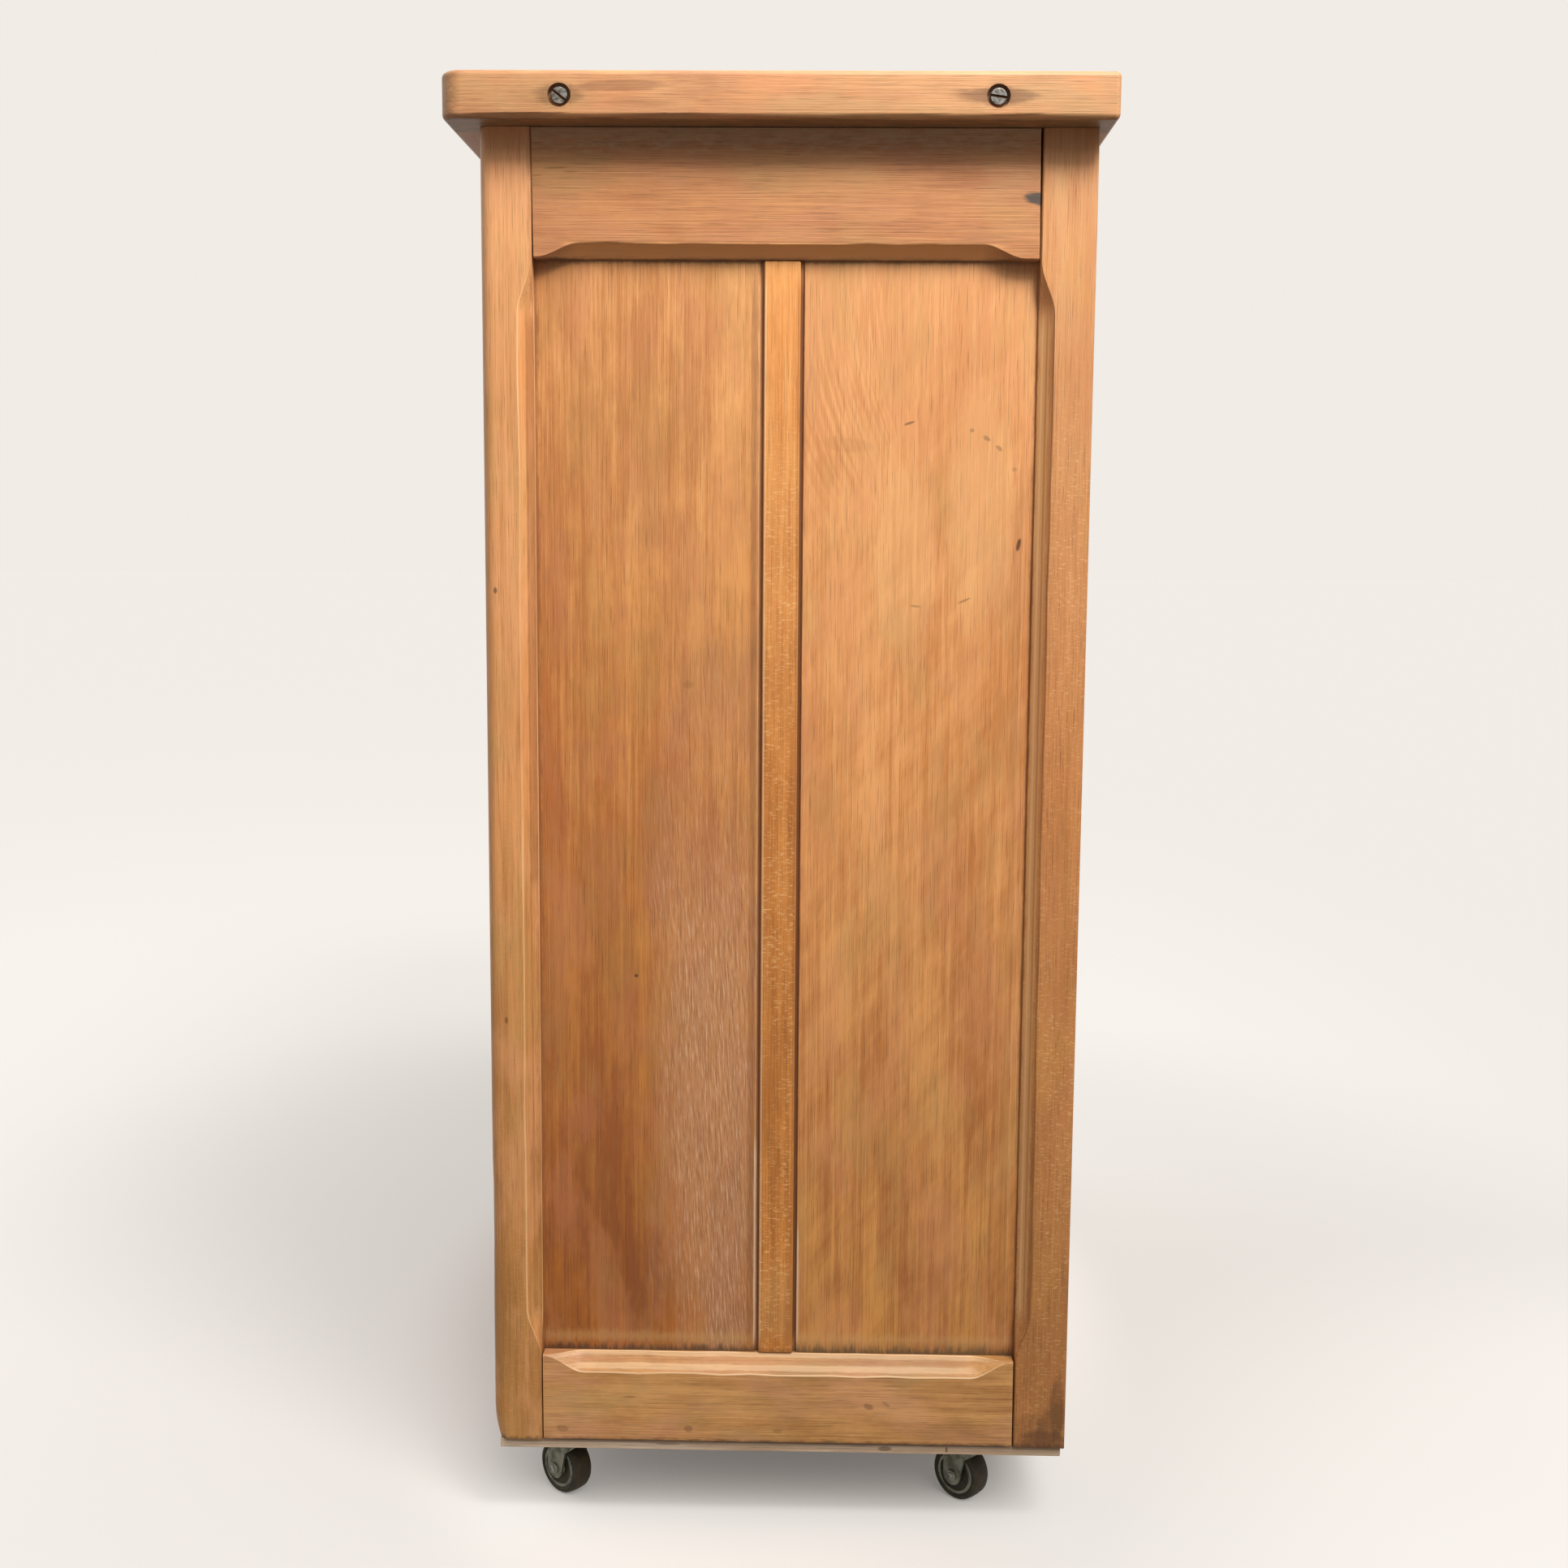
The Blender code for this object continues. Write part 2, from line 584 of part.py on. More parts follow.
def make_side_frames():
    """Rails, muntin and two panels on each side, between the posts."""
    rail_start = FRONT_POST_BACK + GAP
    rail_end = REAR_POST_FRONT - GAP
    length = rail_end - rail_start
    middle = (FRONT_POST_BACK + REAR_POST_FRONT) / 2 - MUNTIN_OFFSET
    muntin_y = (middle - MUNTIN_WIDTH / 2, middle + MUNTIN_WIDTH / 2)
    for side, sign in SIDES.items():
        face = sign * HALF_WIDTH
        tongue_x = (face - sign * PANEL_RECESS, face - sign * (PANEL_RECESS + PANEL_THICKNESS))
        groove_x = (tongue_x[0] + sign * GAP, tongue_x[1] - sign * GAP)
        rails = {
            "top": (BODY_TOP, -1, SIDE_TOP_RAIL_HEIGHT, CHAMFER, CHAMFER, TOP_RAIL_STOP_INSET, RAIL_STOP),
            "bottom": (BODY_BOTTOM, 1, BOTTOM_RAIL_HEIGHT, BOTTOM_CHAMFER_HEIGHT, BOTTOM_CHAMFER_DEPTH,
                       BOTTOM_RAIL_STOP_INSET, BOTTOM_RAIL_STOP),
        }
        tenons = dict(zip(("bottom", "top"), side_tenon_heights()))
        for name, (outside, way, height, wide, deep, inset, stop) in rails.items():
            shape = member(
                origin=(face, rail_start, outside),
                along=(0, 1, 0),
                across=(0, 0, way),
                inward=(-sign, 0, 0),
                length=length,
                width=height,
                thickness=SIDE_FRAME_THICKNESS,
                chamfer=(wide, deep, inset, length - inset, stop),
            )
            for start, end in (
                (rail_start + PAST, FRONT_POST_BACK - SIDE_TENON_LENGTH),
                (rail_end - PAST, REAR_POST_FRONT + SIDE_TENON_LENGTH),
            ):
                shape = join(shape, box(tongue_x, (start, end), tenons[name]))
            inner = outside + way * height
            groove_y = (rail_start - SIDE_TENON_LENGTH - PAST, rail_end + SIDE_TENON_LENGTH + PAST)
            groove_z = (inner + way * PAST, inner - way * (GROOVE_DEPTH + GAP))
            shape = cut(shape, box(groove_x, groove_y, groove_z))
            keep(f"side_{name}_rail_{side}", shape, BEECH)

        muntin_x = (face - sign * (PANEL_RECESS - MUNTIN_PROUD), face - sign * MUNTIN_BACK)
        muntin_z = (BOTTOM_RAIL_TOP + GAP, SIDE_TOP_RAIL_BOTTOM - GAP)
        shape = eased_box(muntin_x, muntin_y, muntin_z)
        for way, start in ((-1, muntin_z[0]), (1, muntin_z[1])):
            stub_z = (start - way * PAST, start + way * (GROOVE_DEPTH - GAP))
            stub_y = (muntin_y[0] + TENON_INSET, muntin_y[1] - TENON_INSET)
            shape = join(shape, box(tongue_x, stub_y, stub_z))
        slot_x = (tongue_x[1] + sign * (PANEL_TONGUE_THICKNESS + GAP), tongue_x[1] - sign * GAP)
        slot_z = (muntin_z[0] - GROOVE_DEPTH - PAST, muntin_z[1] + GROOVE_DEPTH + PAST)
        for way, edge in ((-1, muntin_y[0]), (1, muntin_y[1])):
            slot_y = (edge + way * PAST, edge - way * (MUNTIN_GROOVE_DEPTH + GAP))
            shape = cut(shape, box(slot_x, slot_y, slot_z))
        keep(f"side_muntin_{side}", shape, BEECH)

        reach = GROOVE_DEPTH - 2 * GAP
        panel_z = (BOTTOM_RAIL_TOP - reach, SIDE_TOP_RAIL_BOTTOM + reach)
        panels = {
            "front": (FRONT_POST_BACK - reach, muntin_y[0], 1),
            "rear": (REAR_POST_FRONT + reach, muntin_y[1], -1),
        }
        for end, (outer, muntin_edge, way) in panels.items():
            shape = box(tongue_x, (outer, muntin_edge + way * MUNTIN_GROOVE_DEPTH), panel_z)
            rebate_x = (tongue_x[0] + sign * PAST, tongue_x[1] + sign * PANEL_TONGUE_THICKNESS)
            rebate_start = muntin_edge - way * MUNTIN_SHADOW_GAP
            rebate_y = (rebate_start, muntin_edge + way * (MUNTIN_GROOVE_DEPTH + PAST))
            rebate_z = (panel_z[0] - PAST, panel_z[1] + PAST)
            shape = cut(shape, box(rebate_x, rebate_y, rebate_z))
            keep(f"side_panel_{end}_{side}", shape, ELM)


def top_outline(x_near, x_far, corner):
    """Plan of one piece of the top; its front corner at x_far is rounded where corner is set."""
    front = FRONT - TOP_FRONT_OVERHANG
    back = BACK + TOP_BACK_OVERHANG
    sign = 1 if x_far > x_near else -1
    points = [(x_near, back), (x_near, front)]
    if corner:
        centre = (x_far - sign * corner, front + corner)
        sweep = arc(centre, corner, 270.0, 360.0 if sign > 0 else 180.0, 2 * ROUND_STEPS)
        points.extend(sweep)
    else:
        points.append((x_far, front))
    points.append((x_far, back))
    return points


def make_top():
    """The top: one wide board with a cleat tongued and screwed across each end."""
    low = BODY_TOP + GAP
    high = low + TOP_THICKNESS
    end = HALF_WIDTH + TOP_SIDE_OVERHANG
    joint = end - CLEAT_WIDTH
    middle_z = (low + high) / 2
    front_y = FRONT - TOP_FRONT_OVERHANG
    back_y = BACK + TOP_BACK_OVERHANG
    tongue_y = (front_y + CLEAT_TONGUE_INSET, back_y - CLEAT_TONGUE_INSET)
    half_tongue = CLEAT_TONGUE_THICKNESS / 2
    screw_y = (FRONT + CLEAT_SCREW_FROM_FRONT, BACK - CLEAT_SCREW_FROM_BACK)
    screw_z = high - CLEAT_SCREW_BELOW_TOP

    board = box((-joint, joint), (front_y, back_y), (low, high))
    long_edges = [edge for edge in board.edges if abs(edge.verts[0].co.x - edge.verts[1].co.x) > joint]
    bmesh.ops.bevel(board, geom=long_edges, offset=TOP_EDGE_ROUND, segments=2, affect="EDGES", profile=0.5)
    for sign in (RIGHT, LEFT):
        tongue_x = (sign * (joint - PAST), sign * (joint + CLEAT_TONGUE_LENGTH))
        board = join(board, box(tongue_x, tongue_y, (middle_z - half_tongue, middle_z + half_tongue)))
    keep("top_board", board, BEECH)

    for side, sign in SIDES.items():
        near = sign * (joint + GAP)
        outline = top_outline(near, sign * end, TOP_CORNER_RADIUS)
        cleat = extruded(outline, low, high, lambda a, b, distance: Vector((a, b, distance)))
        rims = [
            edge for edge in cleat.edges
            if abs(edge.verts[0].co.z - edge.verts[1].co.z) < GAP
            and not (abs(edge.verts[0].co.x - near) < GAP and abs(edge.verts[1].co.x - near) < GAP)
        ]
        bmesh.ops.bevel(cleat, geom=rims, offset=TOP_EDGE_ROUND, segments=2, affect="EDGES", profile=0.5)
        groove_x = (near - sign * PAST, sign * (joint + CLEAT_TONGUE_LENGTH + GAP))
        cleat = cut(cleat, box(groove_x, (tongue_y[0] - GAP, tongue_y[1] + GAP),
                               (middle_z - half_tongue - GAP, middle_z + half_tongue + GAP)))
        for y, turn in zip(screw_y, SCREW_SLOT_TURNS):
            mouth = (sign * (end + PAST), y, screw_z)
            head = sign * (end - CLEAT_SCREW_SINK)
            seat = (head - sign * SCREW_HEAD_HEIGHT, y, screw_z)
            cleat = cut(cleat, rod(seat, mouth, SCREW_COUNTERBORE_RADIUS))
            cleat = join(cleat, cleat_screw(sign, head, y, screw_z, turn))
        keep(f"top_cleat_{side}", cleat, BEECH)


def cleat_screw(sign, head, y, z, slot_turn):
    """The slotted head of a screw that goes in along X, with its face at x = head."""
    profile = (
        (0.0, 0.0),
        (0.0, SCREW_HEAD_RADIUS - SCREW_HEAD_EASE),
        (-SCREW_HEAD_EASE, SCREW_HEAD_RADIUS),
        (-SCREW_HEAD_HEIGHT - SCREW_HEAD_BITE, SCREW_HEAD_RADIUS),
        (-SCREW_HEAD_HEIGHT - SCREW_HEAD_BITE, 0.0),
    )
    outwards = Matrix.Rotation(math.radians(90.0) * sign, 4, "Y")
    place = Matrix.Translation((head, y, z)) @ outwards
    slot = box((-SCREW_SLOT_WIDTH / 2, SCREW_SLOT_WIDTH / 2), (-PAST, PAST), (-SCREW_SLOT_DEPTH, PAST))
    slot.transform(place @ Matrix.Rotation(slot_turn, 4, "Z"))
    return cut(turned(profile, ROUND_SIDES, place), slot)


def make_front_frame():
    """Top rail, drawer blade, bottom rail and the rebated stile between the doors."""
    shoulder = POST_INSIDE - GAP
    rails = (
        ("front_top_rail", (FRONT, FRONT_RAIL_BACK), (FRONT_TOP_RAIL_BOTTOM, BODY_TOP)),
        ("drawer_blade", (FRONT, FRONT_RAIL_BACK), (BLADE_BOTTOM, BLADE_TOP)),
        ("front_bottom_rail", (FRONT, FRONT + SIDE_FRAME_THICKNESS), (BODY_BOTTOM, BOTTOM_RAIL_TOP)),
    )
    for index, (name, y, z) in enumerate(rails):
        shape = eased_box((-shoulder, shoulder), y, z)
        for sign in (RIGHT, LEFT):
            x, tenon_y, tenon_z = front_tenons(sign)[index]
            shape = join(shape, box((x[0] - sign * PAST, x[1]), tenon_y, tenon_z))
        keep(name, shape, BEECH)

    half = CENTRE_WIDTH / 2
    stile_z = (BOTTOM_RAIL_TOP + GAP, BLADE_BOTTOM - GAP)
    shape = eased_box((-half, half), (FRONT, FRONT_RAIL_BACK), stile_z)
    lip = half + CENTRE_LIP
    foot_top = FLOOR_TOP + GAP
    shape = join(shape, box((-lip, lip), (DOOR_STOP, FRONT_RAIL_BACK), (foot_top, stile_z[1])))
    notch = box((-lip - PAST, lip + PAST), (DOOR_STOP, FRONT_RAIL_BACK + PAST), (stile_z[0] - PAST, foot_top))
    shape = cut(shape, notch)
    keep("centre_stile", shape, BEECH)


def make_back():
    """Tongued and grooved boards, glued into one back that is nailed in the posts' rebates."""
    reach = POST_INSIDE + BACK_REBATE_WIDTH - GAP
    pitch = 2 * reach / BACK_BOARD_COUNT
    outline = [(-reach, BOARDS_FRONT), (reach, BOARDS_FRONT), (reach, BACK)]
    for index in range(BACK_BOARD_COUNT - 1, 0, -1):
        joint = -reach + index * pitch
        outline += [(joint + BACK_BOARD_V, BACK), (joint, BACK - BACK_BOARD_V), (joint - BACK_BOARD_V, BACK)]
    outline.append((-reach, BACK))
    shape = extruded(outline, BODY_BOTTOM, BODY_TOP, lambda a, b, distance: Vector((a, b, distance)))
    keep("back_panel", shape, PINE)


def around_posts():
    """Blocks that cut a board clear of the four posts."""
    blocks = []
    for sign in (RIGHT, LEFT):
        x = (sign * POST_INSIDE, sign * (HALF_WIDTH + PAST))
        z = (BODY_BOTTOM, BODY_TOP)
        blocks.append(box(x, (FRONT - PAST, FRONT_POST_BACK), z, GAP))
        blocks.append(box(x, (REAR_POST_FRONT, BACK + PAST), z, GAP))
    return blocks


def make_inside():
    """Floor, shelf on its bearers, and what the drawers run on."""
    floor_y = (DOOR_STOP + GAP, BOARDS_FRONT - GAP)
    floor = box((-BOARD_REACH, BOARD_REACH), floor_y, (BOTTOM_RAIL_TOP + GAP, FLOOR_TOP))
    keep("cupboard_floor", cut(floor, *around_posts()), PINE)

    shelf_low = BODY_BOTTOM + SHELF_HEIGHT
    shelf_y = (FRONT + SHELF_SETBACK, BOARDS_FRONT - GAP)
    shelf = box((-BOARD_REACH, BOARD_REACH), shelf_y, (shelf_low, shelf_low + SHELF_THICKNESS))
    keep("shelf", cut(shelf, *around_posts()), PINE)

    between_y = (FRONT_POST_BACK + GAP, REAR_POST_FRONT - GAP)
    bearer_z = (shelf_low - GAP - BEARER_HEIGHT, shelf_low - GAP)
    for side, sign in SIDES.items():
        x = (sign * POST_INSIDE, sign * (SIDE_RAIL_INSIDE - GAP))
        keep(f"shelf_bearer_{side}", eased_box(x, between_y, bearer_z), PINE)

    run_y = (FRONT_RAIL_BACK + GAP, REAR_POST_FRONT - GAP)
    for side, sign in SIDES.items():
        outer = sign * (SIDE_RAIL_INSIDE - GAP)
        strip = box((sign * (POST_INSIDE - RUNNER_LIP), outer), run_y, (BLADE_TOP - RUNNER_HEIGHT, BLADE_TOP))
        guide_x = (sign * (POST_INSIDE + GAP), outer)
        strip = join(strip, box(guide_x, run_y, (BLADE_TOP - PAST, BLADE_TOP + GUIDE_HEIGHT)))
        post_x = (sign * POST_INSIDE, sign * HALF_WIDTH)
        post_z = (BODY_BOTTOM, BODY_TOP)
        strip = cut(strip, box(post_x, (FRONT, FRONT_POST_BACK), post_z, GAP))
        keep(f"drawer_runner_{side}", strip, PINE)


def make_base():
    """A thin board under the body, with the castors' plates fast to it."""
    x = HALF_WIDTH - BASE_SIDE_INSET
    y = (FRONT + BASE_FRONT_INSET, BACK - BASE_BACK_INSET)
    shape = eased_box((-x, x), y, (CASTOR_HEIGHT, CASTOR_HEIGHT + BASE_THICKNESS))
    for corner in CASTOR_TURNS:
        shape = join(shape, castor_plate(*castor_place(corner)))
    keep("base_board", shape, PLY)


def door_opening():
    """Half of the front between a post and the centre stile, as x on the right-hand side, and z."""
    return (CENTRE_WIDTH / 2, POST_INSIDE), (BOTTOM_RAIL_TOP, BLADE_BOTTOM)


def hinge_heights():
    z = door_opening()[1]
    return z[0] + DOOR_GAP + HINGE_FROM_DOOR_END, z[1] - DOOR_GAP - HINGE_FROM_DOOR_END


def hinge_axis(sign):
    """x and y of a door's pins, in the middle of its gap and clear of the front."""
    return sign * (POST_INSIDE - DOOR_GAP / 2), FRONT - HINGE_BARREL_RADIUS - GAP


def hinge_leaf(sign, z, on_door):
    """One leaf with its knuckles. The leaf on the post carries the pin."""
    x, y = hinge_axis(sign)
    way = -sign if on_door else sign
    near = x + way * DOOR_GAP / 2
    leaf_x = (near, near + way * HINGE_LEAF_THICKNESS)
    half = HINGE_HEIGHT / 2
    inner = HINGE_HEIGHT / 6
    plate = box(leaf_x, (FRONT, FRONT + HINGE_LEAF_DEPTH), (z - half, z + half))
    if on_door:
        spans = ((z - inner + GAP, z + inner - GAP),)
    else:
        spans = ((z - half, z - inner), (z + inner, z + half))
    link_x = (x + way * GAP, leaf_x[1])
    for low, high in spans:
        plate = join(plate, box(link_x, (y, FRONT + GAP), (low, high)))
        plate = join(plate, rod((x, y, low), (x, y, high), HINGE_BARREL_RADIUS, HINGE_SIDES))
    if on_door:
        bore = rod((x, y, z - half), (x, y, z + half), HINGE_PIN_RADIUS + GAP, HINGE_SIDES)
        return cut(plate, bore)
    reach = inner + HINGE_PIN_BITE
    return join(plate, rod((x, y, z - reach), (x, y, z + reach), HINGE_PIN_RADIUS, HINGE_SIDES))


def door_member(sign, start, outside, way, length, width, upright):
    """A stile (upright) or rail of a door, drawn for the right-hand side and mirrored by sign."""
    if upright:
        origin = (sign * outside, FRONT, start)
        along = (0, 0, 1)
        across = (sign * way, 0, 0)
        stops = (DOOR_BOTTOM_RAIL_HEIGHT, length - DOOR_TOP_RAIL_HEIGHT, POST_STOP)
    else:
        origin = (sign * start, FRONT, outside)
        along = (sign, 0, 0)
        across = (0, 0, way)
        stops = (TOP_RAIL_STOP_INSET, length - TOP_RAIL_STOP_INSET, RAIL_STOP)
    return member(
        origin=origin,
        along=along,
        across=across,
        inward=(0, 1, 0),
        length=length,
        width=width,
        thickness=DOOR_THICKNESS,
        chamfer=(DOOR_CHAMFER, DOOR_CHAMFER, *stops),
    )


def make_doors():
    """Two doors, each a glued frame round two panels, with the sides' stopped chamfers."""
    (opening_near, opening_far), (opening_low, opening_high) = door_opening()
    near = opening_near + DOOR_GAP
    far = opening_far - DOOR_GAP
    low = opening_low + DOOR_GAP
    high = opening_high - DOOR_GAP
    height = high - low
    panel_y = (FRONT + DOOR_PANEL_RECESS, FRONT + DOOR_PANEL_RECESS + DOOR_PANEL_THICKNESS)
    groove_y = (panel_y[0] - GAP, panel_y[1] + GAP)
    window_x = (near + DOOR_STILE_WIDTH, far - DOOR_STILE_WIDTH)
    window_z = (low + DOOR_BOTTOM_RAIL_HEIGHT, high - DOOR_TOP_RAIL_HEIGHT)
    middle = (near + far) / 2
    edges = (middle - MUNTIN_WIDTH / 2, middle + MUNTIN_WIDTH / 2)
    muntin_y = (panel_y[0] - DOOR_MUNTIN_PROUD, panel_y[1] + MUNTIN_COVER)
    for side, sign in SIDES.items():
        axis_x, axis_y = hinge_axis(sign)
        pivot = pivot_at(f"door_{side}_axis", (axis_x, axis_y, low))
        knob_x = sign * (near + DOOR_STILE_WIDTH / 2)
        knob_z = low + DOOR_KNOB_HEIGHT

        frame = door_member(sign, low, far, -1, height, DOOR_STILE_WIDTH, True)
        frame = join(frame, door_member(sign, low, near, 1, height, DOOR_STILE_WIDTH, True))
        rail_length = window_x[1] - window_x[0] + 2 * TENON_OVERLAP
        rail_start = window_x[0] - TENON_OVERLAP
        rails = ((low, 1, DOOR_BOTTOM_RAIL_HEIGHT), (high, -1, DOOR_TOP_RAIL_HEIGHT))
        for outside, way, rail_height in rails:
            rail = door_member(sign, rail_start, outside, way, rail_length, rail_height, False)
            frame = join(frame, rail)
        muntin_z = (window_z[0] - GROOVE_DEPTH, window_z[1] + GROOVE_DEPTH)
        frame = join(frame, eased_box((sign * edges[0], sign * edges[1]), muntin_y, muntin_z))
        windows = (
            (window_x[0] - GROOVE_DEPTH, edges[0] + MUNTIN_GROOVE_DEPTH),
            (edges[1] - MUNTIN_GROOVE_DEPTH, window_x[1] + GROOVE_DEPTH),
        )
        groove_z = (window_z[0] - GROOVE_DEPTH, window_z[1] + GROOVE_DEPTH)
        for groove_x in windows:
            frame = cut(frame, box((sign * groove_x[0], sign * groove_x[1]), groove_y, groove_z))
        for z in hinge_heights():
            recess_x = (sign * (far + PAST), sign * (far - HINGE_LEAF_THICKNESS - GAP))
            recess_y = (FRONT - PAST, FRONT + HINGE_LEAF_DEPTH + GAP)
            recess_z = (z - HINGE_HEIGHT / 2 - GAP, z + HINGE_HEIGHT / 2 + GAP)
            frame = cut(frame, box(recess_x, recess_y, recess_z))
        frame = cut(frame, knob_hole(knob_x, knob_z, FRONT))
        keep(f"door_{side}_frame", frame, BEECH, pivot)

        for name, groove_x in zip(("inner", "outer"), windows):
            panel_x = (sign * (groove_x[0] + GAP), sign * (groove_x[1] - GAP))
            panel = box(panel_x, panel_y, (groove_z[0] + GAP, groove_z[1] - GAP))
            keep(f"door_{side}_panel_{name}", panel, ELM, pivot)

        place = Matrix.Translation((knob_x, FRONT, knob_z)) @ Matrix.Rotation(math.radians(90.0), 4, "X")
        keep(f"door_{side}_knob", knob(place), BEECH, pivot)
        for name, z in zip(("bottom", "top"), hinge_heights()):
            keep(f"hinge_{side}_{name}_door_leaf", hinge_leaf(sign, z, True), BRASS, pivot)
            keep(f"hinge_{side}_{name}_post_leaf", hinge_leaf(sign, z, False), BRASS)


def make_drawer():
    """One long drawer: front, two sides, back, bottom and a pair of knobs."""
    half = POST_INSIDE - DRAWER_GAP
    low = BLADE_TOP + DRAWER_GAP
    high = FRONT_TOP_RAIL_BOTTOM - DRAWER_GAP
    side_low = BLADE_TOP + RUNNING_GAP
    side_high = FRONT_TOP_RAIL_BOTTOM - 2 * DRAWER_GAP
    front_back = FRONT + DRAWER_FRONT_THICKNESS
    box_back = BOARDS_FRONT - DRAWER_BACK_ROOM
    lap = front_back - DRAWER_LAP
    inner = half - DRAWER_SIDE_THICKNESS
    bottom_low = side_low + DRAWER_BOTTOM_RAISE
    bottom_z = (bottom_low, bottom_low + DRAWER_BOTTOM_THICKNESS)
    groove_z = (bottom_z[0] - GAP, bottom_z[1] + GAP)
    pivot = pivot_at("drawer_axis", (0.0, FRONT, low))

    front = eased_box((-half, half), (FRONT, front_back), (low, high))
    for side, sign in SIDES.items():
        lap_x = (sign * (half + PAST), sign * (inner - GAP))
        front = cut(front, box(lap_x, (lap - GAP, front_back + PAST), (low - PAST, side_high + GAP)))
        board = box((sign * half, sign * inner), (lap, box_back), (side_low, side_high))
        groove_x = (sign * (inner - PAST), sign * (inner + DRAWER_BOTTOM_GROOVE + GAP))
        board = cut(board, box(groove_x, (lap - PAST, box_back + PAST), groove_z))
        keep(f"drawer_side_{side}", board, PINE, pivot)
    bottom_half = inner + DRAWER_BOTTOM_GROOVE
    groove_y = (front_back - DRAWER_BOTTOM_GROOVE - GAP, front_back + PAST)
    front = cut(front, box((-bottom_half - GAP, bottom_half + GAP), groove_y, groove_z))
    knob_z = (low + high) / 2
    for side, sign in SIDES.items():
        x = sign * DRAWER_KNOB_SPREAD / 2
        front = cut(front, knob_hole(x, knob_z, FRONT))
        place = Matrix.Translation((x, FRONT, knob_z)) @ Matrix.Rotation(math.radians(90.0), 4, "X")
        keep(f"drawer_knob_{side}", knob(place), BEECH, pivot)
    keep("drawer_front", front, BEECH, pivot)
    back_z = (bottom_z[1] + GAP, side_high)
    back = box((-inner + GAP, inner - GAP), (box_back - DRAWER_BACK_THICKNESS, box_back), back_z)
    keep("drawer_back", back, PINE, pivot)
    bottom = box((-bottom_half, bottom_half), (front_back - DRAWER_BOTTOM_GROOVE, box_back), bottom_z)
    keep("drawer_bottom", bottom, PINE, pivot)


def castor_place(corner):
    """x and y of a castor's swivel axis."""
    end, side = corner.split("_")
    x = SIDES[side] * (HALF_WIDTH - CASTOR_SIDE_INSET)
    y = FRONT + CASTOR_END_INSET if end == "front" else BACK - CASTOR_END_INSET
    return x, y


def castor_plate(x, y):
    """A plate with its race and kingpin, riveted over below the fork's crown."""
    low = CASTOR_HEIGHT - CASTOR_PLATE_THICKNESS
    half = CASTOR_PLATE / 2
    plate = box((x - half, x + half), (y - half, y + half), (low, CASTOR_HEIGHT + PLATE_BITE))
    corners = [edge for edge in plate.edges if abs(edge.verts[0].co.z - edge.verts[1].co.z) > GAP]
    bmesh.ops.bevel(plate, geom=corners, offset=CASTOR_PLATE_CORNER, segments=2, affect="EDGES", profile=0.5)
    race_low = low - CASTOR_RACE_HEIGHT
    head_high = race_low - FORK_CROWN_THICKNESS - 2 * GAP
    profile = (
        (low + PLATE_BITE, 0.0),
        (low + PLATE_BITE, CASTOR_RACE_RADIUS),
        (race_low, CASTOR_RACE_RADIUS - RACE_TAPER),
        (race_low, KINGPIN_RADIUS),
        (head_high, KINGPIN_RADIUS),
        (head_high, KINGPIN_HEAD_RADIUS),
        (head_high - KINGPIN_HEAD_HEIGHT, KINGPIN_HEAD_RADIUS - KINGPIN_HEAD_TAPER),
        (head_high - KINGPIN_HEAD_HEIGHT, 0.0),
    )
    return join(plate, turned(profile, ROUND_SIDES, Matrix.Translation((x, y, 0.0))))


def fork_leg_outline(axle_z, crown_z):
    """Side view of a leg, as (trail, height): a flared shoulder down to a round end at the axle."""
    centre = (-CASTOR_TRAIL, axle_z)
    radius = FORK_LEG_END_RADIUS
    points = [
        (FORK_LEG_TOP_FRONT, crown_z),
        (FORK_LEG_TOP_FRONT, crown_z - FORK_FRONT_DROP),
        (centre[0] + radius + FORK_WAIST_REACH, axle_z + radius + FORK_WAIST_RISE),
    ]
    points += arc(centre, radius, 360.0, 180.0, 2 * ROUND_STEPS)
    points += [(centre[0] - radius, crown_z - FORK_BACK_DROP), (-FORK_LEG_TOP_BACK, crown_z)]
    return points


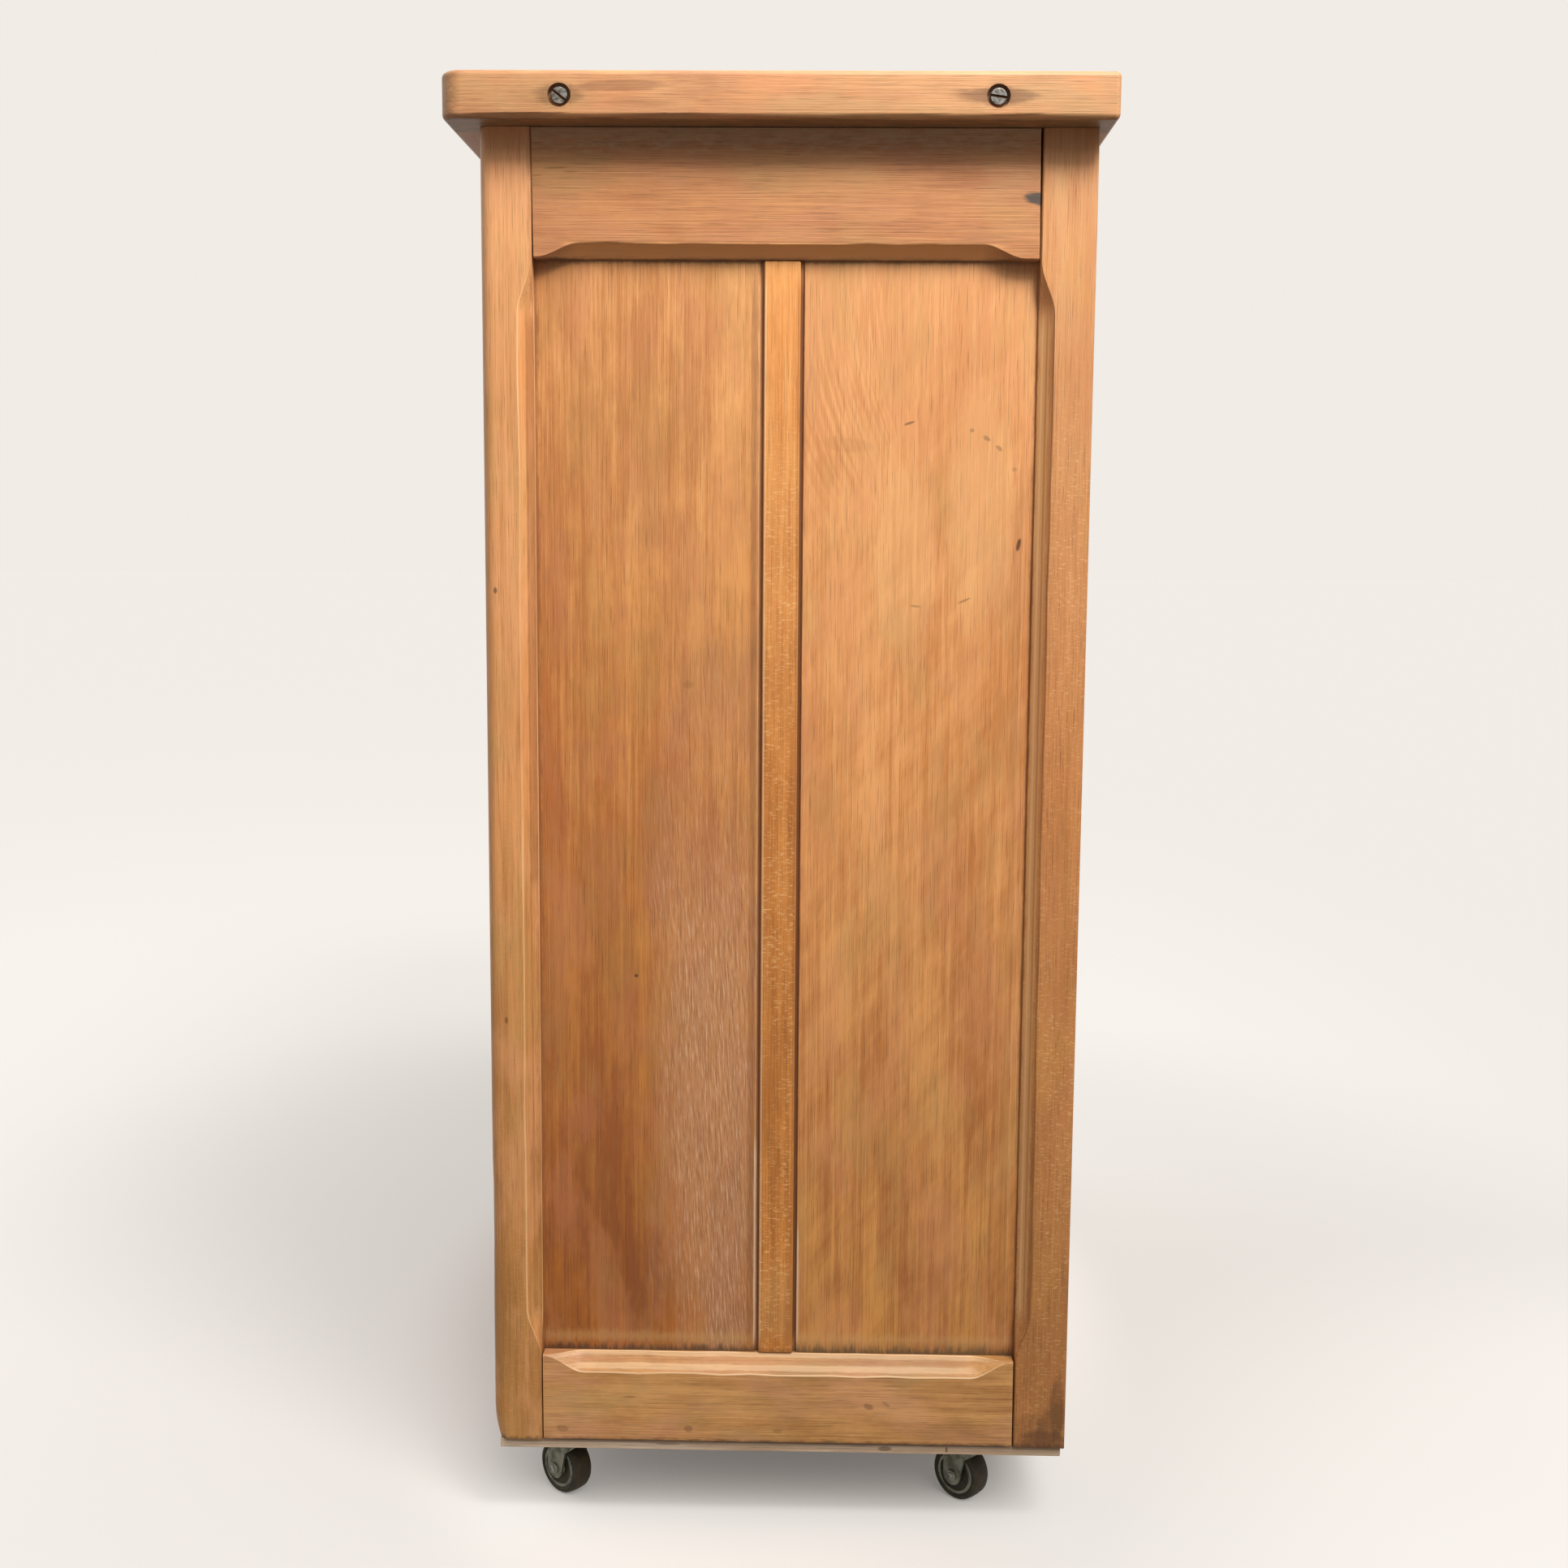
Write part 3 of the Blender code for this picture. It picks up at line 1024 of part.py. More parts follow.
def castor_fork():
    """Crown, two legs and the riveted axle. The swivel axis is Z, and the wheel trails along -X."""
    crown_high = CROWN_TOP
    crown_low = crown_high - FORK_CROWN_THICKNESS
    axle_z = WHEEL_DIAMETER / 2
    inner = WHEEL_WIDTH / 2 + FORK_WHEEL_CLEARANCE
    outer = inner + FORK_LEG_THICKNESS
    shape = turned(
        (
            (crown_high, KINGPIN_RADIUS + GAP),
            (crown_high, CASTOR_RACE_RADIUS),
            (crown_low, CASTOR_RACE_RADIUS + FORK_CROWN_FLARE),
            (crown_low, KINGPIN_RADIUS + GAP),
        ),
        ROUND_SIDES,
    )
    for way in (1, -1):
        outline = fork_leg_outline(axle_z, crown_high - FORK_BITE)
        leg = extruded(outline, way * inner, way * outer, lambda a, b, distance: Vector((a, distance, b)))
        shape = join(shape, leg)
    bridge_x = (-FORK_LEG_TOP_BACK + FORK_BRIDGE_INSET, -CASTOR_RACE_RADIUS + FORK_BRIDGE_LAP)
    bridge_y = (-outer + FORK_BITE, outer - FORK_BITE)
    shape = join(shape, box(bridge_x, bridge_y, (crown_low + FORK_BITE, crown_high - 2 * FORK_BITE)))
    place = Matrix.Translation((-CASTOR_TRAIL, 0.0, axle_z)) @ Matrix.Rotation(math.radians(-90.0), 4, "X")
    end = outer + AXLE_HEAD_HEIGHT
    half_profile = [
        (inner + FORK_BITE, AXLE_RADIUS),
        (inner + FORK_BITE, AXLE_HEAD_RADIUS),
        (end - AXLE_HEAD_HEIGHT * AXLE_HEAD_ROUND_SHARE, AXLE_HEAD_RADIUS),
        (end, AXLE_HEAD_RADIUS * AXLE_HEAD_TOP_SHARE),
        (end, 0.0),
    ]
    profile = [(-along, radius) for along, radius in reversed(half_profile)] + half_profile
    return join(shape, turned(profile, ROUND_SIDES, place))


def castor_wheel():
    """Tyre, sunken web and hub, round Z, before it is turned on its side."""
    radius = WHEEL_DIAMETER / 2
    half = WHEEL_WIDTH / 2
    rim = radius - TYRE_DEPTH
    outer_side = [
        (half, AXLE_RADIUS + AXLE_CLEARANCE),
        (half, HUB_RADIUS),
        (half - WEB_SINK, HUB_RADIUS + WEB_SLOPE),
        (half - WEB_SINK, rim - RIM_WIDTH - WEB_SLOPE),
        (half - RIM_SINK, rim - RIM_WIDTH),
        (half - RIM_SINK, rim),
        (half - TYRE_WALL_SINK, radius - TREAD_SHOULDER),
        (half - TREAD_ROUND_WIDTH, radius - TREAD_ROUND_DEPTH),
    ]
    profile = outer_side + [(0.0, radius)] + [(-along, reach) for along, reach in reversed(outer_side)]
    return turned(profile, WHEEL_SIDES, Matrix.Rotation(math.radians(-90.0), 4, "X"))


def make_castors():
    """What swivels and what spins: four forks, and a wheel in each."""
    for corner, turn in CASTOR_TURNS.items():
        fork_item = keep(f"castor_fork_{corner}", castor_fork(), STEEL)
        fork_item.location = (*castor_place(corner), 0.0)
        fork_item.rotation_euler.z = turn - math.pi
        wheel_item = keep(f"castor_wheel_{corner}", castor_wheel(), RUBBER)
        wheel_item.parent = fork_item
        wheel_item.location = (-CASTOR_TRAIL, 0.0, WHEEL_DIAMETER / 2)


def main():
    clear_scene()
    make_posts()
    make_side_frames()
    make_top()
    make_front_frame()
    make_back()
    make_inside()
    make_base()
    make_doors()
    make_drawer()
    make_castors()


main()
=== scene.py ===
"""Buffet cabinet of stripped wood on swivel castors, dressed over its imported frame.

Metres, +Z up. +X is the cabinet's right-hand side, and the doors face -Y.
"""

import json
import math
import random

import bmesh
import bpy
from bpy.props import FloatProperty, FloatVectorProperty, IntProperty, PointerProperty
from mathutils import Matrix, Vector


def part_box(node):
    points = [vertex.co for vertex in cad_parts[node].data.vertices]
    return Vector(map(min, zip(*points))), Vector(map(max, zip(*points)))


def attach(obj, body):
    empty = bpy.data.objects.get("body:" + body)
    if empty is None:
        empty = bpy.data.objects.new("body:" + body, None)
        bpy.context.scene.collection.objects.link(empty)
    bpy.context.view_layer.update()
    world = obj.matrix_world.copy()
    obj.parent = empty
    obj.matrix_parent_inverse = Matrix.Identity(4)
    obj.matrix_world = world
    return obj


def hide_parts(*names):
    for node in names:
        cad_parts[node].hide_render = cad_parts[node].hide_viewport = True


bl_info = {
    "name": "Stripped wood buffet cabinet",
    "version": (1, 0, 0),
    "blender": (4, 5, 0),
    "location": "View3D > Sidebar > Cabinet",
    "description": "Posts, rails, panels, top, doors, drawer and castors of a buffet cabinet",
    "category": "Object",
}

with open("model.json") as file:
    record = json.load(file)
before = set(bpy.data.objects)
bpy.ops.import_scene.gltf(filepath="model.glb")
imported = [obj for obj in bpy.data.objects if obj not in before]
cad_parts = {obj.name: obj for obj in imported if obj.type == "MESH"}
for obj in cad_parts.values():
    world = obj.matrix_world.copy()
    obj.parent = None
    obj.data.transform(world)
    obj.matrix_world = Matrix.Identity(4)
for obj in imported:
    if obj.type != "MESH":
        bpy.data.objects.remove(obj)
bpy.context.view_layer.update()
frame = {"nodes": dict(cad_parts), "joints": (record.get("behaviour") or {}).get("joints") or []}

NEAR = 1e-5
X, Y, Z = 0, 1, 2


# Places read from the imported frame

FRONT_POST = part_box("post_front_right")
REAR_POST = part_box("post_rear_right")
FACE = FRONT_POST[1].x
FRONT = FRONT_POST[0].y
BACK = REAR_POST[1].y
BODY_BOTTOM = FRONT_POST[0].z
BODY_TOP = FRONT_POST[1].z
TOP_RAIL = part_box("side_top_rail_right")
BOTTOM_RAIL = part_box("side_bottom_rail_right")
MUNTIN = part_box("side_muntin_right")
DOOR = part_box("door_right_frame")
PANEL_LOW, PANEL_HIGH = BOTTOM_RAIL[1].z, TOP_RAIL[0].z
FRONT_EDGE, REAR_EDGE = FRONT_POST[1].y, REAR_POST[0].y     # Where the panels meet the posts
FRONT_JOINT, REAR_JOINT = MUNTIN[0].y, MUNTIN[1].y          # Where they meet the muntin

JOINT_GAP = 0.0003          # Between pieces that are let into each other
DOOR_FOOT_RAIL = 0.084
DOOR_HEAD_RAIL = 0.070
LEAF_SUNK = 0.001           # How far a hinge's leaf reaches past the edge that it lies on

# Fibres and spots of the wood: length along the grain, width across it, detail, roughness
CLOUD = (0.22, 0.050, 3.0, 0.55)
STREAK = (0.30, 0.0062, 3.0, 0.6)
HAIR = (0.110, 0.0014, 2.0, 0.6)
PORE = (0.030, 0.0007, 1.0, 0.5)
MOTTLE = (0.045, 0.018, 4.0, 0.68)
RIPPLE = (0.070, 0.015, 3.0, 0.6)
SWIRL = (0.12, 0.0038, 3.0, 0.6)
SHOWN = (0.22, 0.045, 2.0, 0.5)
CAST = (0.10, 0.040, 4.0, 0.6)
DASH = (0.018, 0.0012, 3.0, 0.65)
RAY = (0.0045, 0.0012, 2.0, 0.5)
RAGGED = (0.020, 0.004, 3.0, 0.7)

WAVE_METRE = 0.314          # Wave scale that gives one band each metre
BEAD_LEAN = math.radians(-4.0)
BEAD_ROWS = 0.0045
RIPPLE_LEAN = math.radians(33.0)
CURL_SWEEP = 1.3            # How fast the curled grain bends aside, per metre
CURL_SHOWN = 3.6            # How much lighter and deeper the curled fibres are
MARK_DEPTH = 0.2            # How far a mark's shape reaches across the cabinet
NO_TURN = (0.0, 0.0, 0.0)
EASED = {"interpolation_type": "SMOOTHSTEP"}
TINTS = {"out": 2, "data_type": "RGBA"}                 # For a mix of colours, which are its inputs 6 and 7
ARRIS, GROOVE, TREAD = "arris", "groove", "tread"       # Face attributes that the finishes read

STOP_STEPS = 9              # Sections through each curved stop of a chamfer
CHAMFER_HOLLOW = 0.22       # Bevel profile that hollows a chamfer
PLATE_THICK = 0.0025
SHEET_THICK = 0.009


def linear(hex_colour):
    """An sRGB hex colour as linear red, green and blue."""
    values = []
    for start in (1, 3, 5):
        share = int(hex_colour[start:start + 2], 16) / 255
        values.append(share / 12.92 if share <= 0.04045 else ((share + 0.055) / 1.055) ** 2.4)
    return tuple(values)


def size(name, description, default):
    """A length that a user may change."""
    return FloatProperty(name=name, description=description, default=default, unit="LENGTH", precision=4)


def colour(name, description, hex_colour):
    """A colour that a user may change."""
    return FloatVectorProperty(name=name, description=description, default=linear(hex_colour),
                               subtype="COLOR", size=3, min=0.0, max=1.0)


class CabinetFrameSizes(bpy.types.PropertyGroup):
    """Sizes of the side frames and of the doors' frames."""

    chamfer: size("Chamfer", "Width of the stopped chamfers of the sides", 0.012)
    foot_chamfer: size("Bottom rail chamfer", "Height of the bottom rail's chamfer", 0.015)
    door_chamfer: size("Door chamfer", "Width of the doors' stopped chamfers", 0.010)
    arris: size("Arris", "How far the other arrises are worn round", 0.0011)
    post_round: size("Front arris", "Radius of the front posts' outer arris", 0.011)
    post_stop: size("Stile stop", "Length of the curved stops of the stiles", 0.042)
    rail_stop: size("Rail stop", "Length of the curved stops of the rails", 0.030)
    wander: size("Wander", "How far a hand-cut arris strays", 0.0007)
    top_round: size("Top edge", "Radius of the top's edges", 0.0044)
    top_corner: size("Top corner", "Radius of the top's front corners", 0.018)
    door_stile: size("Door stile", "Width of the doors' stiles", 0.052)


class CabinetCastorSizes(bpy.types.PropertyGroup):
    """Sizes of the castors' turned and pressed parts."""

    tyre_depth: size("Tyre depth", "Rubber outside the steel wheel face", 0.0055)
    pressed_edge: size("Pressed edge", "Radius of the forks' edges", 0.0005)
    plate: size("Plate", "Side of the square plate", 0.048)
    plate_screw: size("Plate screw", "Radius of the plate's screw heads", 0.0032)
    sides: IntProperty(name="Sides", description="Facets round a wheel", default=72, min=24, max=128)


class CabinetColours(bpy.types.PropertyGroup):
    """Colours of the wood, the metal and the rubber."""

    # grime is old dirt, and also the colour of painted shadow lines in the gap at the cabinet's foot
    grime: colour("Grime", "Old dirt in joints and corners", "#4A3018")
    # mark also darkens the steel's grooves and slots, with dirt and painted shade
    mark: colour("Mark", "Nail and insect holes", "#4A290D")
    # worn is rubbed wood, and also the colour of painted highlights along arrises and edges
    worn: colour("Worn arris", "Wood rubbed pale on the arrises", "#F3CB9B")
    fleck: colour("Fleck", "Pale flecks where the beech's rays are cut", "#E9B678")
    paint: colour("Paint", "White paint left in the grooves", "#DDBF9C")
    steel: colour("Steel", "Dull grey-green pressed steel", "#7E7E6F")
    screw: colour("Screw", "Bare steel of the old screws", "#908B84")
    brass: colour("Brass", "Tarnished brass of the hinges", "#8A6F41")
    rubber: colour("Rubber", "Brown-black rubber of the tyres", "#211C13")


class CabinetStage(bpy.types.PropertyGroup):
    """Floor, lamps and background."""

    backdrop: colour("Backdrop", "Colour of floor and background", "#F1ECE6")
    horizon: FloatProperty(name="Horizon", description="Even light from low down", default=0.15, min=0.0)
    zenith: FloatProperty(name="Zenith", description="Even light from overhead", default=0.75, min=0.0)
    sun: FloatProperty(name="Sun", description="Strength of the lamp on the right", default=1.8, min=0.0)
    fill: FloatProperty(name="Fill", description="Strength of the front left lamp", default=0.7, min=0.0)
    window: FloatProperty(name="Window", description="Power of the lamp over the side", default=11.0, min=0.0)
    floor_reach: size("Floor", "Half the width of the floor", 40.0)
    lens: FloatProperty(name="Lens", description="Focal length in millimetres", default=44.29, min=1.0)


# Picking and shaping, as by hand


def bare():
    """Leaves edit mode, with nothing selected."""
    if bpy.context.mode != "OBJECT":
        bpy.ops.object.mode_set(mode="OBJECT")
    bpy.ops.object.select_all(action="DESELECT")


def take(item):
    """Makes one piece the selected and active one."""
    bare()
    item.select_set(True)
    bpy.context.view_layer.objects.active = item
    return item


def select(item, kind, wanted):
    """Goes into edit mode with only the wanted vertices, edges or faces selected."""
    if bpy.context.mode != "EDIT_MESH":
        take(item)
        bpy.ops.object.mode_set(mode="EDIT")
    bpy.ops.mesh.select_mode(type=kind)
    bpy.ops.mesh.select_all(action="DESELECT")
    shape = bmesh.from_edit_mesh(item.data)
    parts = {"VERT": shape.verts, "EDGE": shape.edges, "FACE": shape.faces}[kind]
    count = 0
    for part in parts:
        if wanted(part):
            part.select_set(True)
            count += 1
    shape.select_flush_mode()
    bmesh.update_edit_mesh(item.data)
    return count


def applied(name):
    """Names the active object, and puts its place, turn and scale into its mesh."""
    item = bpy.context.object
    item.name = name
    item.data.name = name
    bpy.ops.object.transform_apply(location=True, rotation=True, scale=True)
    return item


def block(name, low, high):
    """A block between two corners, to be shaped further."""
    bare()
    low, high = Vector(low), Vector(high)
    bpy.ops.mesh.primitive_cube_add(size=1.0, location=(low + high) / 2)
    bpy.context.object.scale = high - low
    return applied(name)


def along(run):
    """A test for the edges that run along one axis."""
    def wanted(edge):
        span = edge.verts[1].co - edge.verts[0].co
        return abs(span[run]) > NEAR and all(abs(span[axis]) < NEAR for axis in (X, Y, Z) if axis != run)
    return wanted


def on_line(edge, places):
    """Whether both ends of an edge have these places, given as {axis: value}."""
    return all(abs(vert.co[axis] - value) < NEAR for vert in edge.verts for axis, value in places.items())


def bevel(item, wanted, offset, segments=2, profile=0.5):
    """Rounds or chamfers the wanted edges."""
    if select(item, "EDGE", wanted):
        bpy.ops.mesh.bevel(offset=offset, segments=segments, profile=profile, clamp_overlap=True)


def outward(item):
    """Turns all faces outwards."""
    select(item, "FACE", lambda face: True)
    bpy.ops.mesh.normals_make_consistent(inside=False)


def smooth(item, angle=35.0):
    """Shades round edges smooth, and leaves arrises sharp and broad faces flat."""
    take(item)
    bpy.ops.object.shade_smooth_by_angle(angle=math.radians(angle))
    modifier = item.modifiers.new("Flat faces", "WEIGHTED_NORMAL")
    modifier.keep_sharp = True
    bpy.ops.object.modifier_apply(modifier=modifier.name)


def cut_away(item, cutters):
    """Cuts blocks or turned shapes out of a piece, and removes them."""
    for cutter in cutters:
        take(item)
        modifier = item.modifiers.new("Cut", "BOOLEAN")
        modifier.object = cutter
        bpy.ops.object.modifier_apply(modifier=modifier.name)
        bpy.data.objects.remove(cutter, do_unlink=True)


def mirrored(item, name):
    """The same piece for the left-hand side."""
    take(item)
    bpy.ops.object.duplicate()
    bpy.context.object.scale.x = -1.0
    twin = applied(name)
    outward(twin)
    return twin


def turned(name, foot, axis, profile, sides, shading=35.0):
    """A solid turned on an axis: a disc drawn out through the profile's (along, radius) points."""
    bare()
    foot, axis = Vector(foot), Vector(axis).normalized()
    turn = axis.to_track_quat("Z", "Y").to_euler()
    start, radius = profile[0]
    bpy.ops.mesh.primitive_circle_add(
        vertices=sides, radius=radius, fill_type="NGON", location=foot + axis * start, rotation=turn
    )
    item = applied(name)
    select(item, "FACE", lambda face: True)
    for (before, old), (after, new) in zip(profile, profile[1:]):
        bpy.ops.mesh.extrude_region_move(TRANSFORM_OT_translate={"value": axis * (after - before)})
        if new:
            bpy.ops.transform.resize(value=(new / old,) * 3, center_override=foot + axis * after)
        else:
            bpy.ops.mesh.merge(type="CENTER")
    outward(item)
    smooth(item, shading)
    return item


def dress(item, slot, finish, *nodes, body="cabinet"):
    """Gives a finished piece its material and body, and hides the nodes that it stands for."""
    bare()
    item.data.materials.clear()
    item.data.materials.append(finish)
    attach(item, body)
    if nodes:
        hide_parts(*nodes)


def pair(item, name, slot, finish, *nodes, body="cabinet", angle=35.0):
    """Finishes a right-hand piece and its twin for the left. {} in a name stands for the side."""
    item.name = name.format("right")
    smooth(item, angle)
    twin = mirrored(item, name.format("left"))
    smooth(twin, angle)
    for side, piece in (("right", item), ("left", twin)):
        dress(piece, slot, finish, *(node.format(side) for node in nodes), body=body.format(side))


def softened(node, slot, finish, radius, segments=2, body="cabinet"):
    """A copy of a CAD node's shape with its arrises worn round."""
    take(frame["nodes"][node])
    bpy.ops.object.duplicate()
    item = bpy.context.object
    place = item.matrix_world.copy()
    item.parent = None
    item.matrix_world = place
    item = applied(node + "_worn")
    select(item, "VERT", lambda vert: True)
    bpy.ops.mesh.remove_doubles(threshold=NEAR)
    bpy.ops.mesh.dissolve_limited(angle_limit=math.radians(0.5))
    take(item)
    modifier = item.modifiers.new("Worn arrises", "BEVEL")
    modifier.width = radius
    modifier.segments = segments
    modifier.limit_method = "ANGLE"
    modifier.angle_limit = math.radians(30.0)
    bpy.ops.object.modifier_apply(modifier=modifier.name)
    smooth(item)
    dress(item, slot, finish, node, body=body)


def rise(share):
    """An S-shaped rise from 0 to 1."""
    share = min(max(share, 0.0), 1.0)
    return share * share * (3.0 - 2.0 * share)


# Materials


def add(tree, kind, *values, out=0, named=None, **settings):
    """Adds one node with its settings, sets or links its inputs, and gives one of its outputs."""
    made = tree.nodes.new("ShaderNode" + kind)
    for name, value in settings.items():
        setattr(made, name, value)
    for place, value in (*enumerate(values), *(named or {}).items()):
        if isinstance(value, bpy.types.NodeSocket):
            tree.links.new(value, made.inputs[place])
        else:
            made.inputs[place].default_value = value
    return made.outputs[out]


def blank(name):
    """A new material with only its shader and output."""
    made = bpy.data.materials.new(name)
    made.use_nodes = True
    return made, made.node_tree, made.node_tree.nodes["Principled BSDF"]


def shade(word):
    """A colour by its name in the cabinet's colours, or by its hex value."""
    named = getattr(bpy.context.scene.cabinet_colours, word, None)
    return (*(named or linear(word)), 1.0)


def fibres(tree, place, run, kind, shift=NO_TURN):
    """Marks of a real length along the grain and a real width across it, from about 0.3 to 0.7."""
    length, across, detail, roughness = kind
    scale = tuple(1.0 / (length if axis == run else across) for axis in (X, Y, Z))
    drawn = add(tree, "Mapping", place, shift, NO_TURN, scale)
    return add(tree, "TexNoise", drawn, out="Fac",
               named={"Scale": 1.0, "Detail": detail, "Roughness": roughness})


def patch(tree, place, where, cloud):
    """1 inside a soft, ragged patch (y, half width, z, half height) of a side, and 0 outside."""
    y, half_width, z, half_height = where
    near = add(tree, "Mapping", place, (0.0, y, z), NO_TURN, (MARK_DEPTH * 100, half_width, half_height),
               vector_type="TEXTURE")
    near = add(tree, "VectorMath", near, operation="LENGTH", out="Value")
    near = add(tree, "Math", cloud, 1.6, near, operation="MULTIPLY_ADD")
    return add(tree, "MapRange", near, 2.05, 1.25, **EASED)


def curled(tree, place, apart, curl, cloud, shift):
    """Fibres in a patch that sweep aside on a parabola from its top, about nought."""
    z, half_height = curl[2:]
    fall = add(tree, "Math", z + half_height, apart["Z"], operation="SUBTRACT")
    fall = add(tree, "Math", fall, fall, operation="MULTIPLY")
    swept = add(tree, "Math", fall, -CURL_SWEEP, apart["Y"], operation="MULTIPLY_ADD")
    swept = add(tree, "CombineXYZ", 0.0, swept, apart["Z"])
    swirl = add(tree, "Math", fibres(tree, swept, Z, SWIRL, shift), 0.5, operation="SUBTRACT")
    return add(tree, "Math", swirl, patch(tree, place, curl, cloud), operation="MULTIPLY")


def growth_lines(tree, place, run, across, lean, ring, wave, shift):
    """Bands across the board that wander along the grain, from 0 to 1."""
    scale, turn = [0.0] * 3, [0.0] * 3
    scale[across], scale[run] = 1.0, 0.16
    turn[3 - across - run] = lean
    drawn = add(tree, "Mapping", place, shift, turn, scale)
    return add(tree, "TexWave", drawn, WAVE_METRE / ring, wave, 2.0, 0.35, 0.55, out="Fac",
               wave_type="BANDS", bands_direction="XYZ"[across], wave_profile="SAW")


def by_height(tree, height, hexes):
    """A colour that changes from the foot over the middle to the top of the cabinet, partly the wood's own
    and partly painted light.
    """
    ramp = add(tree, "ValToRGB", add(tree, "MapRange", height, BODY_BOTTOM, BODY_TOP))
    stops = ramp.node.color_ramp.elements
    stops[0].position, stops[0].color = 0.10, shade(hexes[0])
    stops[1].position, stops[1].color = 0.95, shade(hexes[2])
    stops.new(0.53).color = shade(hexes[1])
    return ramp


def beaded(tree, place, height, beads, cloud, shift):
    """A pale haze with rows of darker gaps and pale dashes in it, as (share, colour) layers."""
    strong = add(tree, "MapRange", height, 0.66, 0.46, 0.30, 1.0, **EASED)
    inside = add(tree, "Math", patch(tree, place, beads, cloud), strong, operation="MULTIPLY")
    slanted = add(tree, "Mapping", place, shift, (BEAD_LEAN, 0.0, 0.0), (0.0, 1.0, 1.0))
    rows = add(tree, "TexWave", slanted, WAVE_METRE / BEAD_ROWS, 2.2, 2.0, 0.8, 0.6, out="Fac",
               wave_type="BANDS", bands_direction="Y", wave_profile="SIN")
    dashes = add(tree, "Math", rows, 0.06, fibres(tree, slanted, Z, DASH), operation="MULTIPLY_ADD")
    layers = [(add(tree, "Math", inside, 0.40, operation="MULTIPLY"), "#CF9C74")]
    for start, end, strength, word in ((0.52, 0.38, 0.50, "#8A5026"), (0.53, 0.74, 0.60, "#E8BD9A")):
        drawn = add(tree, "MapRange", dashes, start, end, 0.0, strength, **EASED)
        layers.append((add(tree, "Math", drawn, inside, operation="MULTIPLY"), word))
    return layers


def rays(tree, place, run, seed, height, cloud, strength):
    """How plainly the pale rays show, which lie across the grain and are fewer near the top."""
    found = fibres(tree, place, Y if run == Z else Z, RAY, (seed, seed, seed + 9.0))
    found = add(tree, "MapRange", found, 0.52, 0.74, 0.0, strength, **EASED)
    more = add(tree, "MapRange", height, 1.02, 0.88, 0.15, 1.0, **EASED)
    more = add(tree, "Math", more, add(tree, "MapRange", cloud, 0.36, 0.58, 0.25, 1.0), operation="MULTIPLY")
    return add(tree, "Math", found, more, operation="MULTIPLY")


def placed(tree, place, apart, ragged, grime, lines, marks):
    """Bands along edges, of dirt, painted shade and painted light, lines along grooves and arrises, some of
    them painted light and shade, and single marks, as (share, colour) layers.
    """
    def away(axis, middle, stray):
        off = add(tree, "Math", apart["XYZ"[axis]], middle, operation="SUBTRACT")
        off = add(tree, "Math", off, operation="ABSOLUTE")
        return add(tree, "Math", ragged, stray, off, operation="MULTIPLY_ADD")

    layers = []
    for axis, edge, reach, strength, word in grime:
        off = away(axis, edge, -2.2 * reach)
        layers.append((add(tree, "MapRange", off, -1.1 * reach, -0.1 * reach, strength, 0.0, **EASED), word))
    for axis, middle, half, low, high, strength, word in lines:
        off = away(axis, middle, half)
        share = add(tree, "MapRange", off, 1.8 * half, 1.1 * half, 0.0, strength, **EASED)
        for end, inner in ((high, high - 0.03), (low, low + 0.02)):
            fade = add(tree, "MapRange", apart["XYZ"[Y + Z - axis]], end, inner, **EASED)
            share = add(tree, "Math", share, fade, operation="MULTIPLY")
        layers.append((share, word))
    for y, z, half_length, half_width, angle, strength, *own in marks:
        spot = add(tree, "Mapping", place, (FACE, y, z), (math.radians(angle), 0.0, 0.0),
                   (MARK_DEPTH, half_length, half_width), vector_type="TEXTURE")
        off = add(tree, "VectorMath", spot, operation="LENGTH", out="Value")
        off = add(tree, "Math", ragged, 0.7, off, operation="MULTIPLY_ADD")
        layers.append((add(tree, "MapRange", off, 1.00, 1.50, strength, 0.0, **EASED), *(own or ("mark",))))
    return layers


